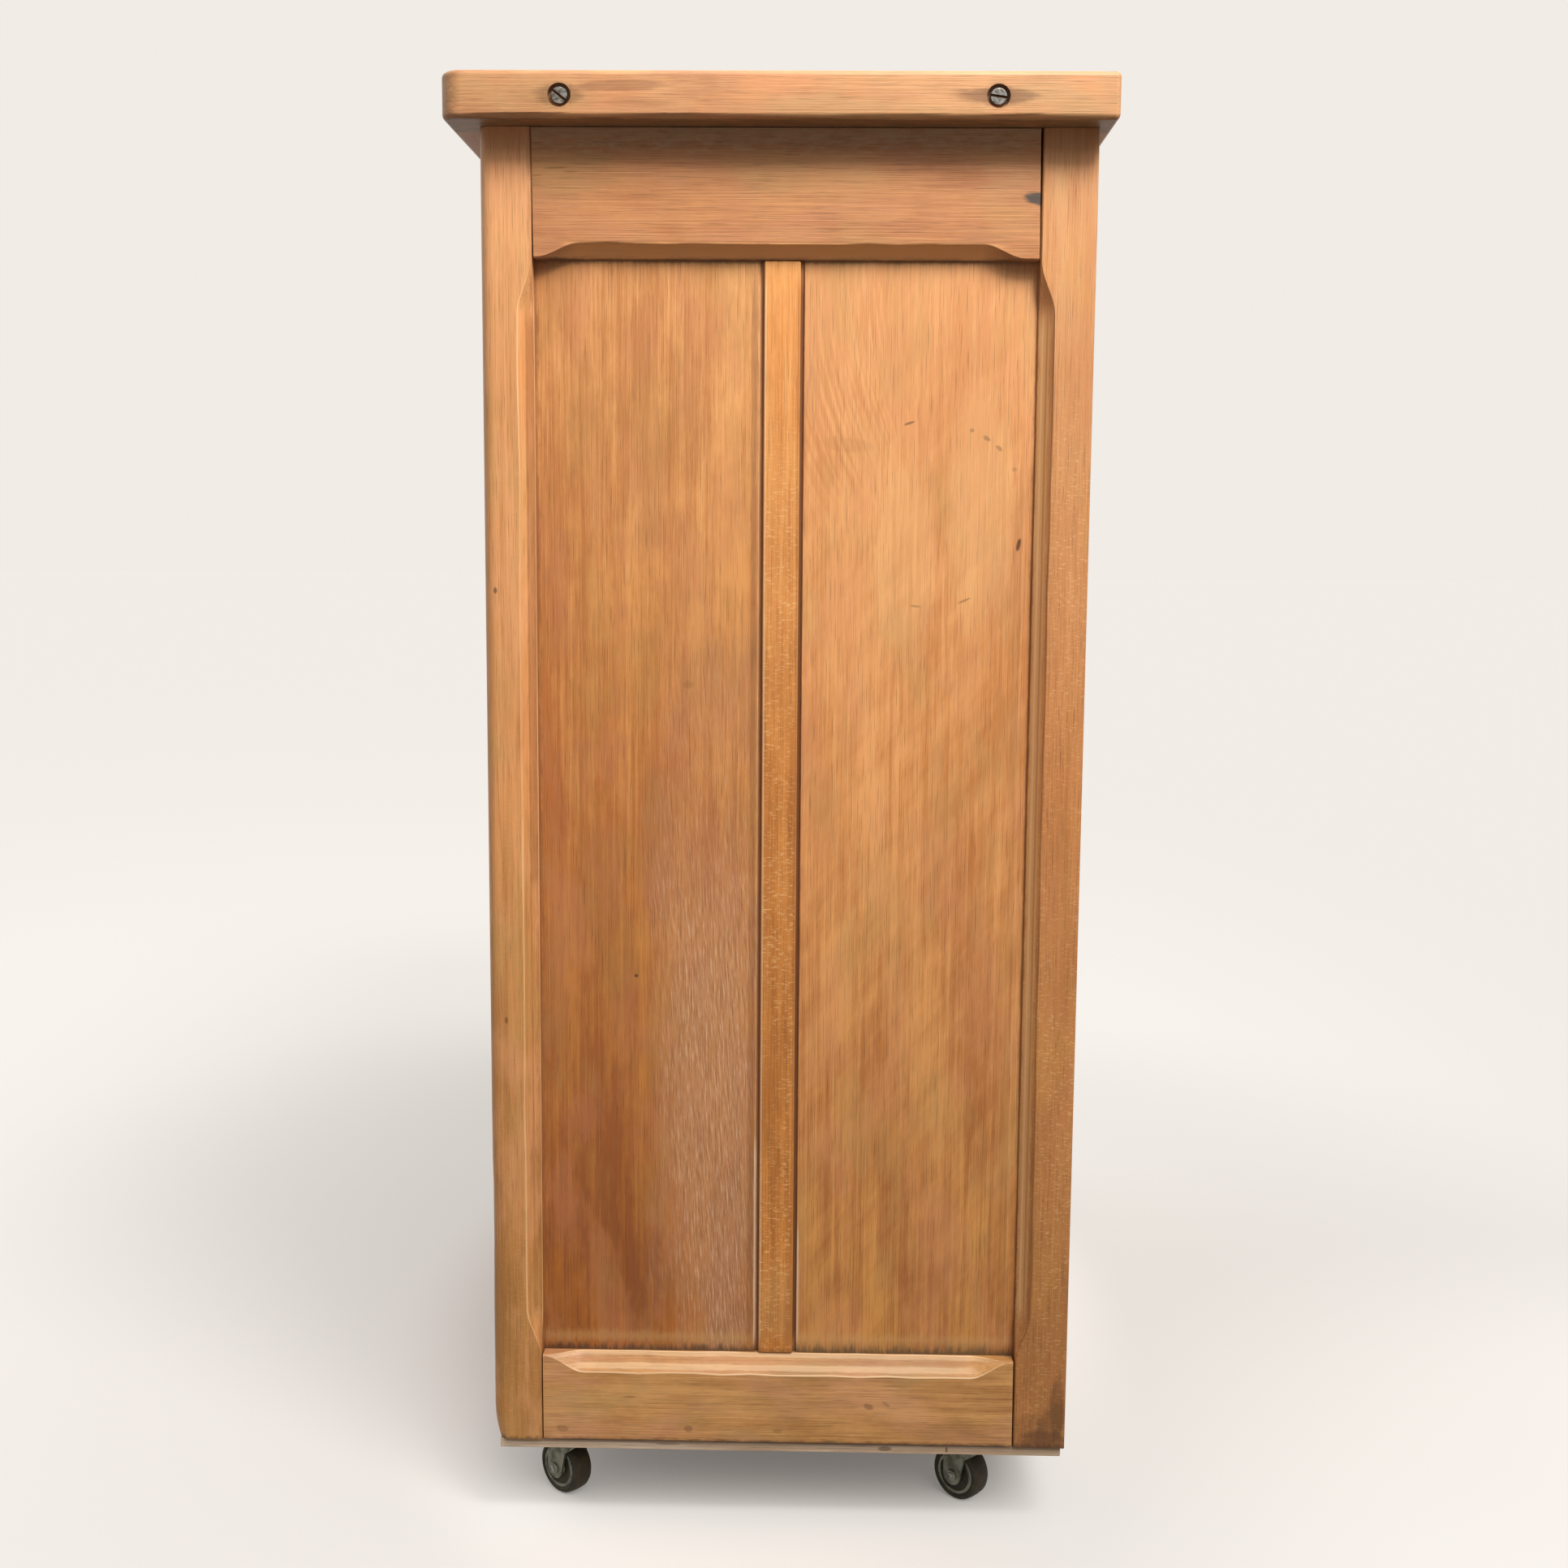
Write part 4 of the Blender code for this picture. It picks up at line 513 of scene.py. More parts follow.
def wood(name, run, light, deep, across=None, figure=0.5, ring=0.008, lean=0.0, wave=3.0, clouds=1.8,
         streaks=1.4, fibre=1.2, mottle=0.0, ripple=0.0, casts=(), flecks=0.0, seed=0.0, tilt=None,
         beads=None, curl=None, grime=(), lines=(), marks=(), worn=None, rough=0.52):
    """A stripped, sanded and waxed board.

    light and deep are hex colours at the foot, the middle and the top of the cabinet: the wood is paler
    towards the top, partly in its own colour and partly as painted light for the light that falls off
    down the side. run is the axis of the grain and across the one that the growth lines
    follow each other along. figure is how plainly the growth lines show, ring their spacing in metres,
    lean how far they slant, wave how much they wander. clouds, streaks, fibre, mottle and ripple are how
    much the board varies in broad bands, in narrow ones, in single fibres, in soft patches and in
    slanting ones. casts is ((hex colour, strength), ...) for soft patches of another hue, and flecks how
    many short pale rays show. tilt is (y, reach, amount) for a board that pales from front to back.
    beads is a patch (y, half width, z, half height) where the growth lines are cut into rows of pale
    dashes, and curl one where the grain sweeps aside. grime is ((axis, place, reach, strength, colour),
    ...) for ragged bands along edges, of dirt, of painted shade and, under the top, of painted light.
    lines ((axis, place, half width, low, high, strength, colour), ...) are lines along a groove or an
    arris from low to high, some of them painted light and painted shade. marks ((y, z, half length, half
    width, turn, strength), ...) are nail and insect marks, with a colour at the end for other spots, and
    worn (colour, strength) is the tint of the chamfers' arrises: partly what rubbing has made of them,
    partly a painted highlight, and on the rear posts a painted shade line.
    """
    made, tree, shader = blank(name)
    place = add(tree, "TexCoord", out="Object")
    apart = add(tree, "SeparateXYZ", place).node.outputs
    height = apart["Z"]
    if across is None:
        across = Z if run == Y else Y
    shift = (seed, seed * 1.7, seed * 2.3)

    # How pale each spot is: the deep colour at 0, the light one at 1
    kinds = (CLOUD, STREAK, HAIR, PORE)
    cloud, streak, hair, pore = (fibres(tree, place, run, kind, shift) for kind in kinds)
    parts = [(cloud, clouds), (streak, streaks), (hair, fibre)]
    if mottle:
        parts.append((fibres(tree, place, run, MOTTLE, shift), mottle))
    if ripple:
        slanting = add(tree, "Mapping", place, shift, (RIPPLE_LEAN, 0.0, 0.0))
        parts.append((fibres(tree, slanting, Z, RIPPLE), ripple))
    if tilt:
        y, reach, amount = tilt
        parts.append((add(tree, "MapRange", apart["Y"], y - reach, y + reach, **EASED), 2.0 * amount))

    # The parts above swing about a half, and the growth lines and the curl about nought
    growth = growth_lines(tree, place, run, across, lean, ring, wave, shift)
    shown = fibres(tree, place, run, SHOWN, (seed + 4.0, seed, seed))
    shown = add(tree, "MapRange", shown, 0.42, 0.66, **EASED)
    swing = add(tree, "Math", growth, 0.5, operation="SUBTRACT")
    masked = [(add(tree, "Math", swing, shown, operation="MULTIPLY"), figure)]
    if curl:
        masked.append((curled(tree, place, apart, curl, cloud, shift), CURL_SHOWN))
    pale = 0.5 - sum(amount for value, amount in parts) / 2
    for value, amount in (*parts, *masked):
        pale = add(tree, "Math", value, amount, pale, operation="MULTIPLY_ADD")
    pale = add(tree, "Clamp", pale, 0.0, 1.2)
    # Paler towards the top: partly the wood's own colour, partly painted light for the light falling off down
    # the side
    deepest, lightest = by_height(tree, height, deep), by_height(tree, height, light)
    tint = add(tree, "Mix", pale, named={6: deepest, 7: lightest}, **TINTS)

    # What lies over the wood's own colour, as (share, colour)
    over = []
    for number, (word, strength) in enumerate(casts):
        spread = fibres(tree, place, run, CAST, (seed + number, seed - number, seed + 5.0))
        over.append((add(tree, "MapRange", spread, 0.45, 0.66, 0.0, strength, **EASED), word))
    if beads:
        over += beaded(tree, place, height, beads, cloud, shift)
    over.append((add(tree, "MapRange", pore, 0.56, 0.72, 0.0, 0.34, **EASED), "grime"))
    if flecks:
        over.append((rays(tree, place, run, seed, height, cloud, flecks), "fleck"))
    over += placed(tree, place, apart, fibres(tree, place, run, RAGGED, shift), grime, lines, marks)
    # The arris tint: partly rubbing, partly painted highlight, and painted shade where its colour is dark
    if worn:
        word, strength = worn
        arris = add(tree, "Attribute", attribute_name=ARRIS, out="Fac")
        patchy = add(tree, "MapRange", streak, 0.30, 0.62, 0.25 * strength, strength)
        over.append((add(tree, "Math", arris, patchy, operation="MULTIPLY"), word))
    for share, word in over:
        tint = add(tree, "Mix", share, named={6: tint, 7: shade(word)}, **TINTS)
    tree.links.new(tint, shader.inputs["Base Color"])

    gloss = add(tree, "Math", streak, 0.25, rough - 0.125, operation="MULTIPLY_ADD")
    tree.links.new(gloss, shader.inputs["Roughness"])
    shader.inputs["IOR"].default_value = 1.48
    relief = add(tree, "Math", pore, 0.35, hair, operation="MULTIPLY_ADD")
    relief = add(tree, "Math", growth, 0.25 * figure, relief, operation="MULTIPLY_ADD")
    bump = add(tree, "Bump", named={"Strength": 0.28, "Distance": 0.0009, "Height": relief})
    tree.links.new(bump, shader.inputs["Normal"])
    return made


def worn_metal(name, dark, bright, metallic, roughness, patches, relief):
    """Metal with dull dark spots and brighter wear, darker in its marked grooves and slots with dirt and
    painted shade. patches is the width of a spot in metres.
    """
    made, tree, shader = blank(name)
    place = add(tree, "TexCoord", out="Object")
    spots = add(tree, "TexNoise", place, out="Fac",
                named={"Scale": 1.0 / patches, "Detail": 4.0, "Roughness": 0.6})
    wear = add(tree, "MapRange", spots, 0.36, 0.64, **EASED)
    tint = add(tree, "Mix", wear, named={6: shade(dark), 7: shade(bright)}, **TINTS)
    # The marked grooves and slots are darker: partly dirt, partly painted shade
    groove_dirt_and_shade = add(tree, "Attribute", attribute_name=GROOVE, out="Fac")
    tint = add(tree, "Mix", groove_dirt_and_shade, named={6: tint, 7: shade("mark")}, **TINTS)
    tree.links.new(tint, shader.inputs["Base Color"])
    shader.inputs["Metallic"].default_value = metallic
    gloss = add(tree, "Math", wear, -0.18, roughness, operation="MULTIPLY_ADD")
    tree.links.new(gloss, shader.inputs["Roughness"])
    bump = add(tree, "Bump", named={"Strength": 0.2, "Distance": relief, "Height": spots})
    tree.links.new(bump, shader.inputs["Normal"])
    return made


def tyre_rubber():
    """Moulded rubber: matt, brown-black, dusty where it has rolled."""
    made, tree, shader = blank("Moulded brown-black rubber")
    place = add(tree, "TexCoord", out="Object")
    spots = add(tree, "TexNoise", place, named={"Scale": 120.0, "Detail": 5.0, "Roughness": 0.7}, out="Fac")
    dust = add(tree, "MapRange", spots, 0.42, 0.70, 0.0, 0.7, **EASED)
    tread = add(tree, "Attribute", attribute_name=TREAD, out="Fac")
    dust = add(tree, "Math", tread, 0.20, dust, operation="MULTIPLY_ADD")
    tint = add(tree, "Mix", dust, named={6: shade("rubber"), 7: shade("#4A3D22")}, **TINTS)
    tree.links.new(tint, shader.inputs["Base Color"])
    shader.inputs["Roughness"].default_value = 0.68
    shader.inputs["IOR"].default_value = 1.52
    shader.inputs["Specular IOR Level"].default_value = 0.35
    bump = add(tree, "Bump", named={"Strength": 0.3, "Distance": 0.0004, "Height": spots})
    tree.links.new(bump, shader.inputs["Normal"])
    return made


def finishes():
    """All the finishes, made once and found by their short names."""
    found = bpy.context.scene.get("cabinet_finishes")
    return {key: bpy.data.materials[name] for key, name in found.items()}


class CABINET_OT_finishes(bpy.types.Operator):
    """Make the materials of the wood, the metal and the rubber"""

    bl_idname = "cabinet.finishes"
    bl_label = "Finishes"

    def execute(self, context):
        made = {}
        self.side_frames(made)
        self.side_panels(made)
        self.top_and_front(made)
        self.plain_boards(made)
        self.metal_and_rubber(made)
        context.scene["cabinet_finishes"] = {key: item.name for key, item in made.items()}
        return {"FINISHED"}

    def side_frames(self, made):
        """The posts, rails and muntin of the sides."""
        # Where the lines on the chamfers end
        low_end, high_end = PANEL_LOW + 0.030, PANEL_HIGH - 0.030
        start, end = FRONT_EDGE + 0.02, REAR_EDGE - 0.02

        # Beech stiles and rails, planed, stripped and waxed: satin, close grain, pale rays
        made["front_stile"] = wood(
            "Stripped beech front post", Z, ("#BF8243", "#E59D60", "#DD9F6A"),
            ("#94622B", "#C28045", "#C7854E"),
            # worn here: the pale arris tint is partly rubbing, partly painted highlight
            figure=0.35, ring=0.006, streaks=1.9, flecks=0.15, seed=1.0, worn=("#EDBE86", 0.60),
            casts=(("#B68D4D", 0.35), ("#EAA471", 0.40)),
            # The foot's band is dirt and painted shade over the gap above the base board
            grime=((Z, BODY_BOTTOM, 0.004, 0.7, "grime"), (Y, FRONT_EDGE, 0.0040, 0.45, "#8A4E22"),
                   # An olive band of painted shade along the round front arris, where it turns from the light
                   (Y, FRONT, 0.007, 0.20, "#7A5F35")),
            lines=((Y, FRONT_EDGE - 0.0060, 0.0008, low_end, high_end, 0.35, "#8C5528"),
                   # Darker towards the chamfer's top: painted shade under the top rail
                   (Y, FRONT_EDGE - 0.0030, 0.0034, 0.56, high_end, 0.50, "#8A4E22")),
            marks=((-0.2333, 0.820, 0.0016, 0.0026, 0.0, 0.7), (-0.2280, 0.4545, 0.0014, 0.0030, 0.0, 0.6)),
        )
        made["rear_stile"] = wood(
            "Stripped beech rear post", Z, ("#B77A42", "#D78E54", "#CE9964"),
            ("#925C2A", "#B6723A", "#BD7E4E"),
            # worn here is a dark painted shade line along the chamfer's arrises
            figure=0.25, ring=0.006, streaks=1.2, mottle=0.8, flecks=0.55, seed=2.0, worn=("#6B4018", 0.80),
            casts=(("#C07A48", 0.35), ("#C88C42", 0.35)),
            grime=((Z, BODY_BOTTOM, 0.005, 0.9, "grime"), (Y, REAR_EDGE, 0.0014, 0.55, "#7A4520")),
            # A pale band of painted light on the chamfer, which faces from the light, with a painted shade
            # line and a painted highlight along it
            lines=((Y, REAR_EDGE + 0.0055, 0.0042, low_end, high_end, 0.50, "#F0B878"),
                   (Y, REAR_EDGE + 0.0072, 0.0007, low_end, high_end, 0.40, "#8A5026"),
                   (Y, REAR_EDGE + 0.0040, 0.0007, low_end, high_end, 0.35, "worn")),
            marks=((0.244, 0.097, 0.012, 0.028, -24.0, 0.46), (0.237, 0.084, 0.024, 0.010, 0.0, 0.52),
                   (0.250, 0.114, 0.007, 0.034, 0.0, 0.44), (0.226, 0.097, 0.015, 0.012, 30.0, 0.26)),
        )
        made["top_rail"] = wood(
            "Stripped beech top rail", Y, ("#AD7647", "#B67949", "#BF824F"),
            ("#8C5831", "#9A6035", "#A4673B"),
            figure=0.25, ring=0.012, wave=5.0, streaks=1.4, fibre=1.6, mottle=1.7, seed=3.0,
            casts=(("#B07551", 0.45), ("#AD834D", 0.40)),
            grime=((Y, FRONT_EDGE, 0.0012, 0.7, "grime"), (Y, REAR_EDGE, 0.0016, 0.8, "grime"),
                   # A pale band under the top is painted light, which lifts the shadow that the top casts
                   (Z, BODY_TOP, 0.022, 0.50, "#D3B591")),
            lines=((Z, PANEL_HIGH + 0.0002, 0.0010, FRONT_EDGE, REAR_EDGE, 0.8, "grime"),
                   # A pale band of painted light on the down-facing chamfer, and a thin painted shade line at
                   # its upper arris
                   (Z, PANEL_HIGH + 0.0068, 0.0058, start, end, 0.75, "#EBA968"),
                   (Z, PANEL_HIGH + 0.0130, 0.0007, start, end, 0.50, "#7A4A22")),
            marks=((0.2115, 1.137, 0.0150, 0.0056, -8.0, 0.95, "#3A322B"),
                   (-0.181, 1.160, 0.010, 0.0008, 2.0, 0.4), (-0.168, 1.157, 0.006, 0.0007, 0.0, 0.35),
                   (-0.196, 1.154, 0.006, 0.0007, 4.0, 0.3)),
        )
        made["bottom_rail"] = wood(
            "Stripped beech bottom rail", Y, ("#D59C5D", "#E2A462", "#ECAD6D"),
            ("#A56F39", "#B87B41", "#C88A4A"),
            figure=0.2, ring=0.009, wave=6.0, streaks=1.2, fibre=1.5, mottle=1.6, seed=4.0,
            # worn here: the pale arris tint is partly rubbing, partly painted highlight
            worn=("worn", 0.95), casts=(("#A88653", 0.55), ("#D5966F", 0.45), ("#8E673B", 0.30)),
            # The band at the foot is painted shadow over the gap above the base board
            grime=((Z, BODY_BOTTOM, 0.0045, 0.9, "grime"), (Y, FRONT_EDGE, 0.0012, 0.7, "grime"),
                   (Y, REAR_EDGE, 0.0014, 0.7, "grime")),
            # A painted shadow line in that gap
            lines=((Z, BODY_BOTTOM + 0.0006, 0.0010, FRONT_EDGE, REAR_EDGE, 0.80, "#3A2410"),
                   (Z, PANEL_LOW - 0.0060, 0.0012, start, end, 0.35, "#B4713F"),
                   # Pale lines along the chamfer's lower arris and along the top edge: partly rubbing, partly
                   # painted highlight
                   (Z, PANEL_LOW - 0.0105, 0.0022, start, end, 0.40, "worn"),
                   (Z, PANEL_LOW - 0.0020, 0.0014, FRONT_EDGE + 0.004, REAR_EDGE - 0.004, 0.35, "worn")),
            marks=(
                (-0.1827, 0.0882, 0.0060, 0.0034, -10.0, 0.35), (-0.0720, 0.0897, 0.0040, 0.0034, 0.0, 0.40),
                (0.0063, 0.0889, 0.0046, 0.0024, 0.0, 0.30), (0.0856, 0.1127, 0.0050, 0.0028, -14.0, 0.45),
                (0.1010, 0.1150, 0.0040, 0.0016, -30.0, 0.30), (-0.1230, 0.1180, 0.0060, 0.0010, 0.0, 0.35),
            ),
        )
        made["muntin"] = wood(
            "Stripped beech muntin", Z, ("#CD833A", "#D38841", "#E7A763"),
            ("#A66426", "#B36B2B", "#D68B46"),
            figure=0.15, ring=0.006, clouds=1.6, streaks=2.0, fibre=1.9, flecks=0.8, seed=5.0,
            grime=((Z, PANEL_LOW, 0.006, 0.5, "grime"),), mottle=1.8,
            # A pale line of painted highlight along the muntin's front edge
            lines=((Y, FRONT_JOINT + 0.001, 0.0010, PANEL_LOW, PANEL_HIGH, 0.38, "worn"),
                   (Y, REAR_JOINT - 0.0012, 0.0010, PANEL_LOW, PANEL_HIGH, 0.45, "#8A5426"),
                   (Y, (FRONT_JOINT + REAR_JOINT) / 2, 0.0120, PANEL_LOW + 0.006, PANEL_LOW + 0.092,
                    0.16, "#D6AC70"),
                   (Z, PANEL_LOW + 0.093, 0.0009, FRONT_JOINT + 0.003, REAR_JOINT - 0.006, 0.45, "worn")),
        )

    def side_panels(self, made):
        """The panels of the sides, with their own dirt, paint and insect marks, and painted shade beside the
        muntin.
        """
        edges = (
            (Z, PANEL_LOW + 0.013, 0.008, 0.35, "#C79A5E"), (Z, PANEL_LOW, 0.0085, 0.92, "grime"),
            (Z, PANEL_HIGH, 0.0035, 0.5, "grime"),
        )
        insects = (
            (0.1090, 0.9597, 0.0050, 0.0011, 18.0, 0.60), (0.1161, 0.8092, 0.0050, 0.0010, -6.0, 0.55),
            (0.1566, 0.8142, 0.0060, 0.0011, 24.0, 0.55), (0.1605, 0.9541, 0.0022, 0.0018, 0.0, 0.65),
            (0.1727, 0.9476, 0.0034, 0.0019, -35.0, 0.70), (0.1829, 0.9397, 0.0034, 0.0017, -40.0, 0.65),
            (0.1959, 0.9226, 0.0024, 0.0020, 0.0, 0.3), (0.2007, 0.8608, 0.0018, 0.0056, -12.0, 0.9),
            (0.0560, 0.9420, 0.0240, 0.0065, -6.0, 0.20, "#9C6230"),
            (0.0400, 0.9200, 0.0080, 0.0160, 10.0, 0.16, "#9C6230"),
            (0.1050, 0.8450, 0.0260, 0.0900, 0.0, 0.24, "#EDB77A"),
            (0.1680, 0.8950, 0.0300, 0.1100, 0.0, 0.26, "#EDB77A"),
        )
        # Panels of a softer, redder wood with upright grain, stripped and waxed
        made["front_panel"] = wood(
            "Stripped softwood front panel", Z, ("#AC641C", "#D38D48", "#DC9E62"),
            ("#814313", "#AF662D", "#B97A43"),
            figure=0.40, ring=0.0062, lean=0.03, wave=2.0, clouds=2.3, streaks=1.7, mottle=1.6, seed=6.0,
            casts=(("#B77249", 0.45), ("#A87539", 0.40)),
            tilt=(-0.10, 0.09, 0.16), beads=(-0.052, 0.050, 0.46, 0.44),
            grime=(*edges, (Y, FRONT_EDGE, 0.0045, 0.60, "#7A4520"),
                   # A brown band of painted shade that the muntin casts on the panel
                   (Y, FRONT_JOINT, 0.0100, 0.35, "#7A4A26")),
            lines=(
                (Y, FRONT_JOINT - 0.0006, 0.0014, PANEL_LOW, PANEL_HIGH, 0.6, "#7A4A1E"),
                # A painted shade line in that band
                (Y, FRONT_JOINT - 0.0080, 0.0024, PANEL_LOW, PANEL_HIGH, 0.40, "#7A4A26"),
                (Y, FRONT_JOINT - 0.0036, 0.0012, PANEL_LOW, 0.36, 0.80, "paint"),
                (Y, FRONT_JOINT - 0.0036, 0.0008, 0.30, PANEL_HIGH, 0.25, "worn"),
            ),
            marks=((-0.1181, 0.4916, 0.0020, 0.0018, 0.0, 0.85), (-0.074, 0.742, 0.0050, 0.0035, 0.0, 0.20)),
        )
        made["rear_panel"] = wood(
            "Stripped softwood rear panel", Z, ("#CD8D47", "#E7A161", "#D69962"),
            ("#9E5F2B", "#C47B3E", "#CC8B54"),
            figure=0.50, ring=0.0075, lean=-0.02, wave=4.0, clouds=2.2, streaks=1.7, mottle=1.0, ripple=1.2,
            seed=7.0, casts=(("#BE8E52", 0.40), ("#D58E5E", 0.35)),
            tilt=(0.12, 0.09, -0.10), curl=(0.060, 0.040, 0.98, 0.115),
            grime=(*edges, (Y, REAR_EDGE, 0.0026, 0.55, "#7A4520"), (Y, REAR_JOINT, 0.0060, 0.35, "#8A5B44"),
                   (Z, PANEL_LOW + 0.004, 0.010, 0.35, "#6E5A38")),
            lines=(
                (Y, REAR_JOINT + 0.0010, 0.0022, PANEL_LOW, PANEL_HIGH, 0.88, "#6A3E14"),
                (Y, REAR_JOINT + 0.0042, 0.0010, PANEL_LOW, 0.28, 0.65, "paint"),
                (Y, REAR_EDGE - 0.0075, 0.0006, PANEL_LOW, PANEL_HIGH, 0.12, "worn"),
                (Y, REAR_EDGE - 0.0120, 0.0030, PANEL_LOW, 0.92, 0.22, "#8A5A2A"),
            ),
            marks=insects,
        )

    def top_and_front(self, made):
        """The top, the front's rails and the doors."""
        level = screw_spots()[0][0].z
        # The same beech on the sides and edges that the light has touched less
        made["cleat"] = wood(
            "Stripped beech cleat of the top", Y, ("#C28C5C",) * 3, ("#A87249",) * 3,
            figure=0.3, ring=0.007, wave=4.0, clouds=2.4, streaks=1.1, mottle=1.9, seed=8.0,
            casts=(("#B08755", 0.55), ("#CE8756", 0.45)),
            # The olive band towards the rounded front corner is painted shade where the corner turns from the
            # light, and the band on the underside painted shade under the overhang
            grime=((Y, FRONT - 0.026, 0.022, 0.42, "#6E5A38"), (Z, BODY_TOP, 0.0012, 0.75, "#5E4A2E")),
            marks=((-0.173, level, 0.020, 0.0100, 0.0, 0.45), (0.173, level, 0.034, 0.0070, 0.0, 0.55),
                   (0.173, level, 0.013, 0.0115, 0.0, 0.35),
                   (-0.125, level + 0.007, 0.040, 0.0050, 1.0, 0.38),
                   (-0.110, level - 0.006, 0.030, 0.0040, -1.0, 0.16)),
        )
        made["board"] = wood(
            "Stripped beech board of the top", X, ("#CD9262",) * 3, ("#AE7245",) * 3,
            figure=0.5, ring=0.014, wave=6.0, flecks=0.1, seed=9.0, casts=(("#B98F5C", 0.40),),
        )
        rail = (("#CF8A54", "#D3925E", "#D49968"), ("#A06032", "#B07242", "#B87C4D"))
        made["front_rail"] = wood(
            "Stripped beech front rail", X, *rail, Z,
            figure=0.35, ring=0.008, wave=4.0, mottle=0.8, flecks=0.2, seed=10.0, casts=(("#B97C5A", 0.35),),
        )
        made["centre"] = wood(
            "Door stile and centre stile of stripped beech", Z, ("#CD8950", "#D3925E", "#D79B69"),
            ("#A06032", "#B07240", "#BC7E4D"), X,
            figure=0.25, ring=0.006, flecks=0.3, seed=11.0, worn=("worn", 0.55),
        )
        made["door_rail"] = wood(
            "Stripped beech door rail", X, *rail, Z,
            figure=0.35, ring=0.007, wave=4.0, mottle=0.8, flecks=0.2, seed=12.0, worn=("worn", 0.7),
        )
        made["door_panel"] = wood(
            "Door panel of stripped softwood", Z, ("#BB7D42", "#D08F55", "#DD9A64"),
            ("#8D542A", "#AE6B38", "#BE7A47"), X,
            figure=0.6, ring=0.0085, lean=0.02, wave=5.0, mottle=1.0, seed=13.0, casts=(("#B4714C", 0.35),),
            grime=((Z, DOOR[0].z + DOOR_FOOT_RAIL, 0.007, 0.8, "grime"),
                   (Z, DOOR[1].z - DOOR_HEAD_RAIL, 0.003, 0.5, "grime")),
        )

    def plain_boards(self, made):
        """The back, the inside, the drawer's box and the base."""
        # Softwood that was only planed: matt, pale, with plain growth lines
        made["pine"] = wood(
            "Bare pine boards", Z, ("#C79B66",) * 3, ("#A57743",) * 3, X,
            figure=0.8, ring=0.007, wave=4.0, seed=14.0, rough=0.7,
        )
        for key, name, run, seed in (("pine_across", "Bare pine shelf and drawer", X, 15.0),
                                     ("pine_deep", "Bare pine drawer sides and runners", Y, 17.0)):
            made[key] = wood(name, run, ("#CDA270",) * 3, ("#AD7F4B",) * 3,
                             figure=0.8, ring=0.009, wave=5.0, seed=seed, rough=0.7)
        made["ply"] = wood(
            "Thin pine base board", Y, ("#E5CCB3",) * 3, ("#BF9E7C",) * 3,
            figure=0.6, ring=0.003, wave=3.0, seed=16.0, rough=0.72,
            # The band at the top edge is painted shadow in the gap under the body
            grime=((Z, BODY_BOTTOM, 0.0012, 0.85, "grime"),),
            marks=((0.1005, 0.0725, 0.0065, 0.0024, 0.0, 0.6), (0.1545, 0.0724, 0.0012, 0.0030, 0.0, 0.7),
                   (-0.0900, 0.0735, 0.0120, 0.0013, 0.0, 0.4)),
        )

    def metal_and_rubber(self, made):
        """The castors, screws and hinges."""
        # Zinc-plated pressed steel gone dull: grey-green, soft reflections, dark oily spots 12 mm wide
        made["steel"] = worn_metal("Dull zinc-plated pressed steel", "#57564A", "steel",
                                   0.7, 0.56, 0.012, 0.0003)
        # Bare steel screws, cleaned with the wood: grey and scratched, darker in the pits
        made["screw"] = worn_metal("Old bare steel screw", "#4A4640", "screw", 0.8, 0.50, 0.003, 0.0002)
        # Rolled brass that was never lacquered: brown, with bright wear
        made["brass"] = worn_metal("Tarnished brass", "#4B3A22", "brass", 0.9, 0.50, 0.005, 0.0001)
        made["rubber"] = tyre_rubber()


# Frame members


def stations(low, high, stop, seed, step=0.045):
    """(place, share, stray) along a stopped chamfer that runs from low to high."""
    chance = random.Random(seed)
    shares = [(stop * count / STOP_STEPS, rise(count / STOP_STEPS)) for count in range(STOP_STEPS + 1)]
    middle = round((high - low - 2 * stop) / step)
    places = [(low + way, share, 0.0) for way, share in shares]
    for count in range(1, middle):
        place = low + stop + (high - low - 2 * stop) * count / middle
        places.append((place, 1.0, chance.uniform(-1.0, 1.0)))
    places += [(high - way, share, 0.0) for way, share in reversed(shares)]
    return places


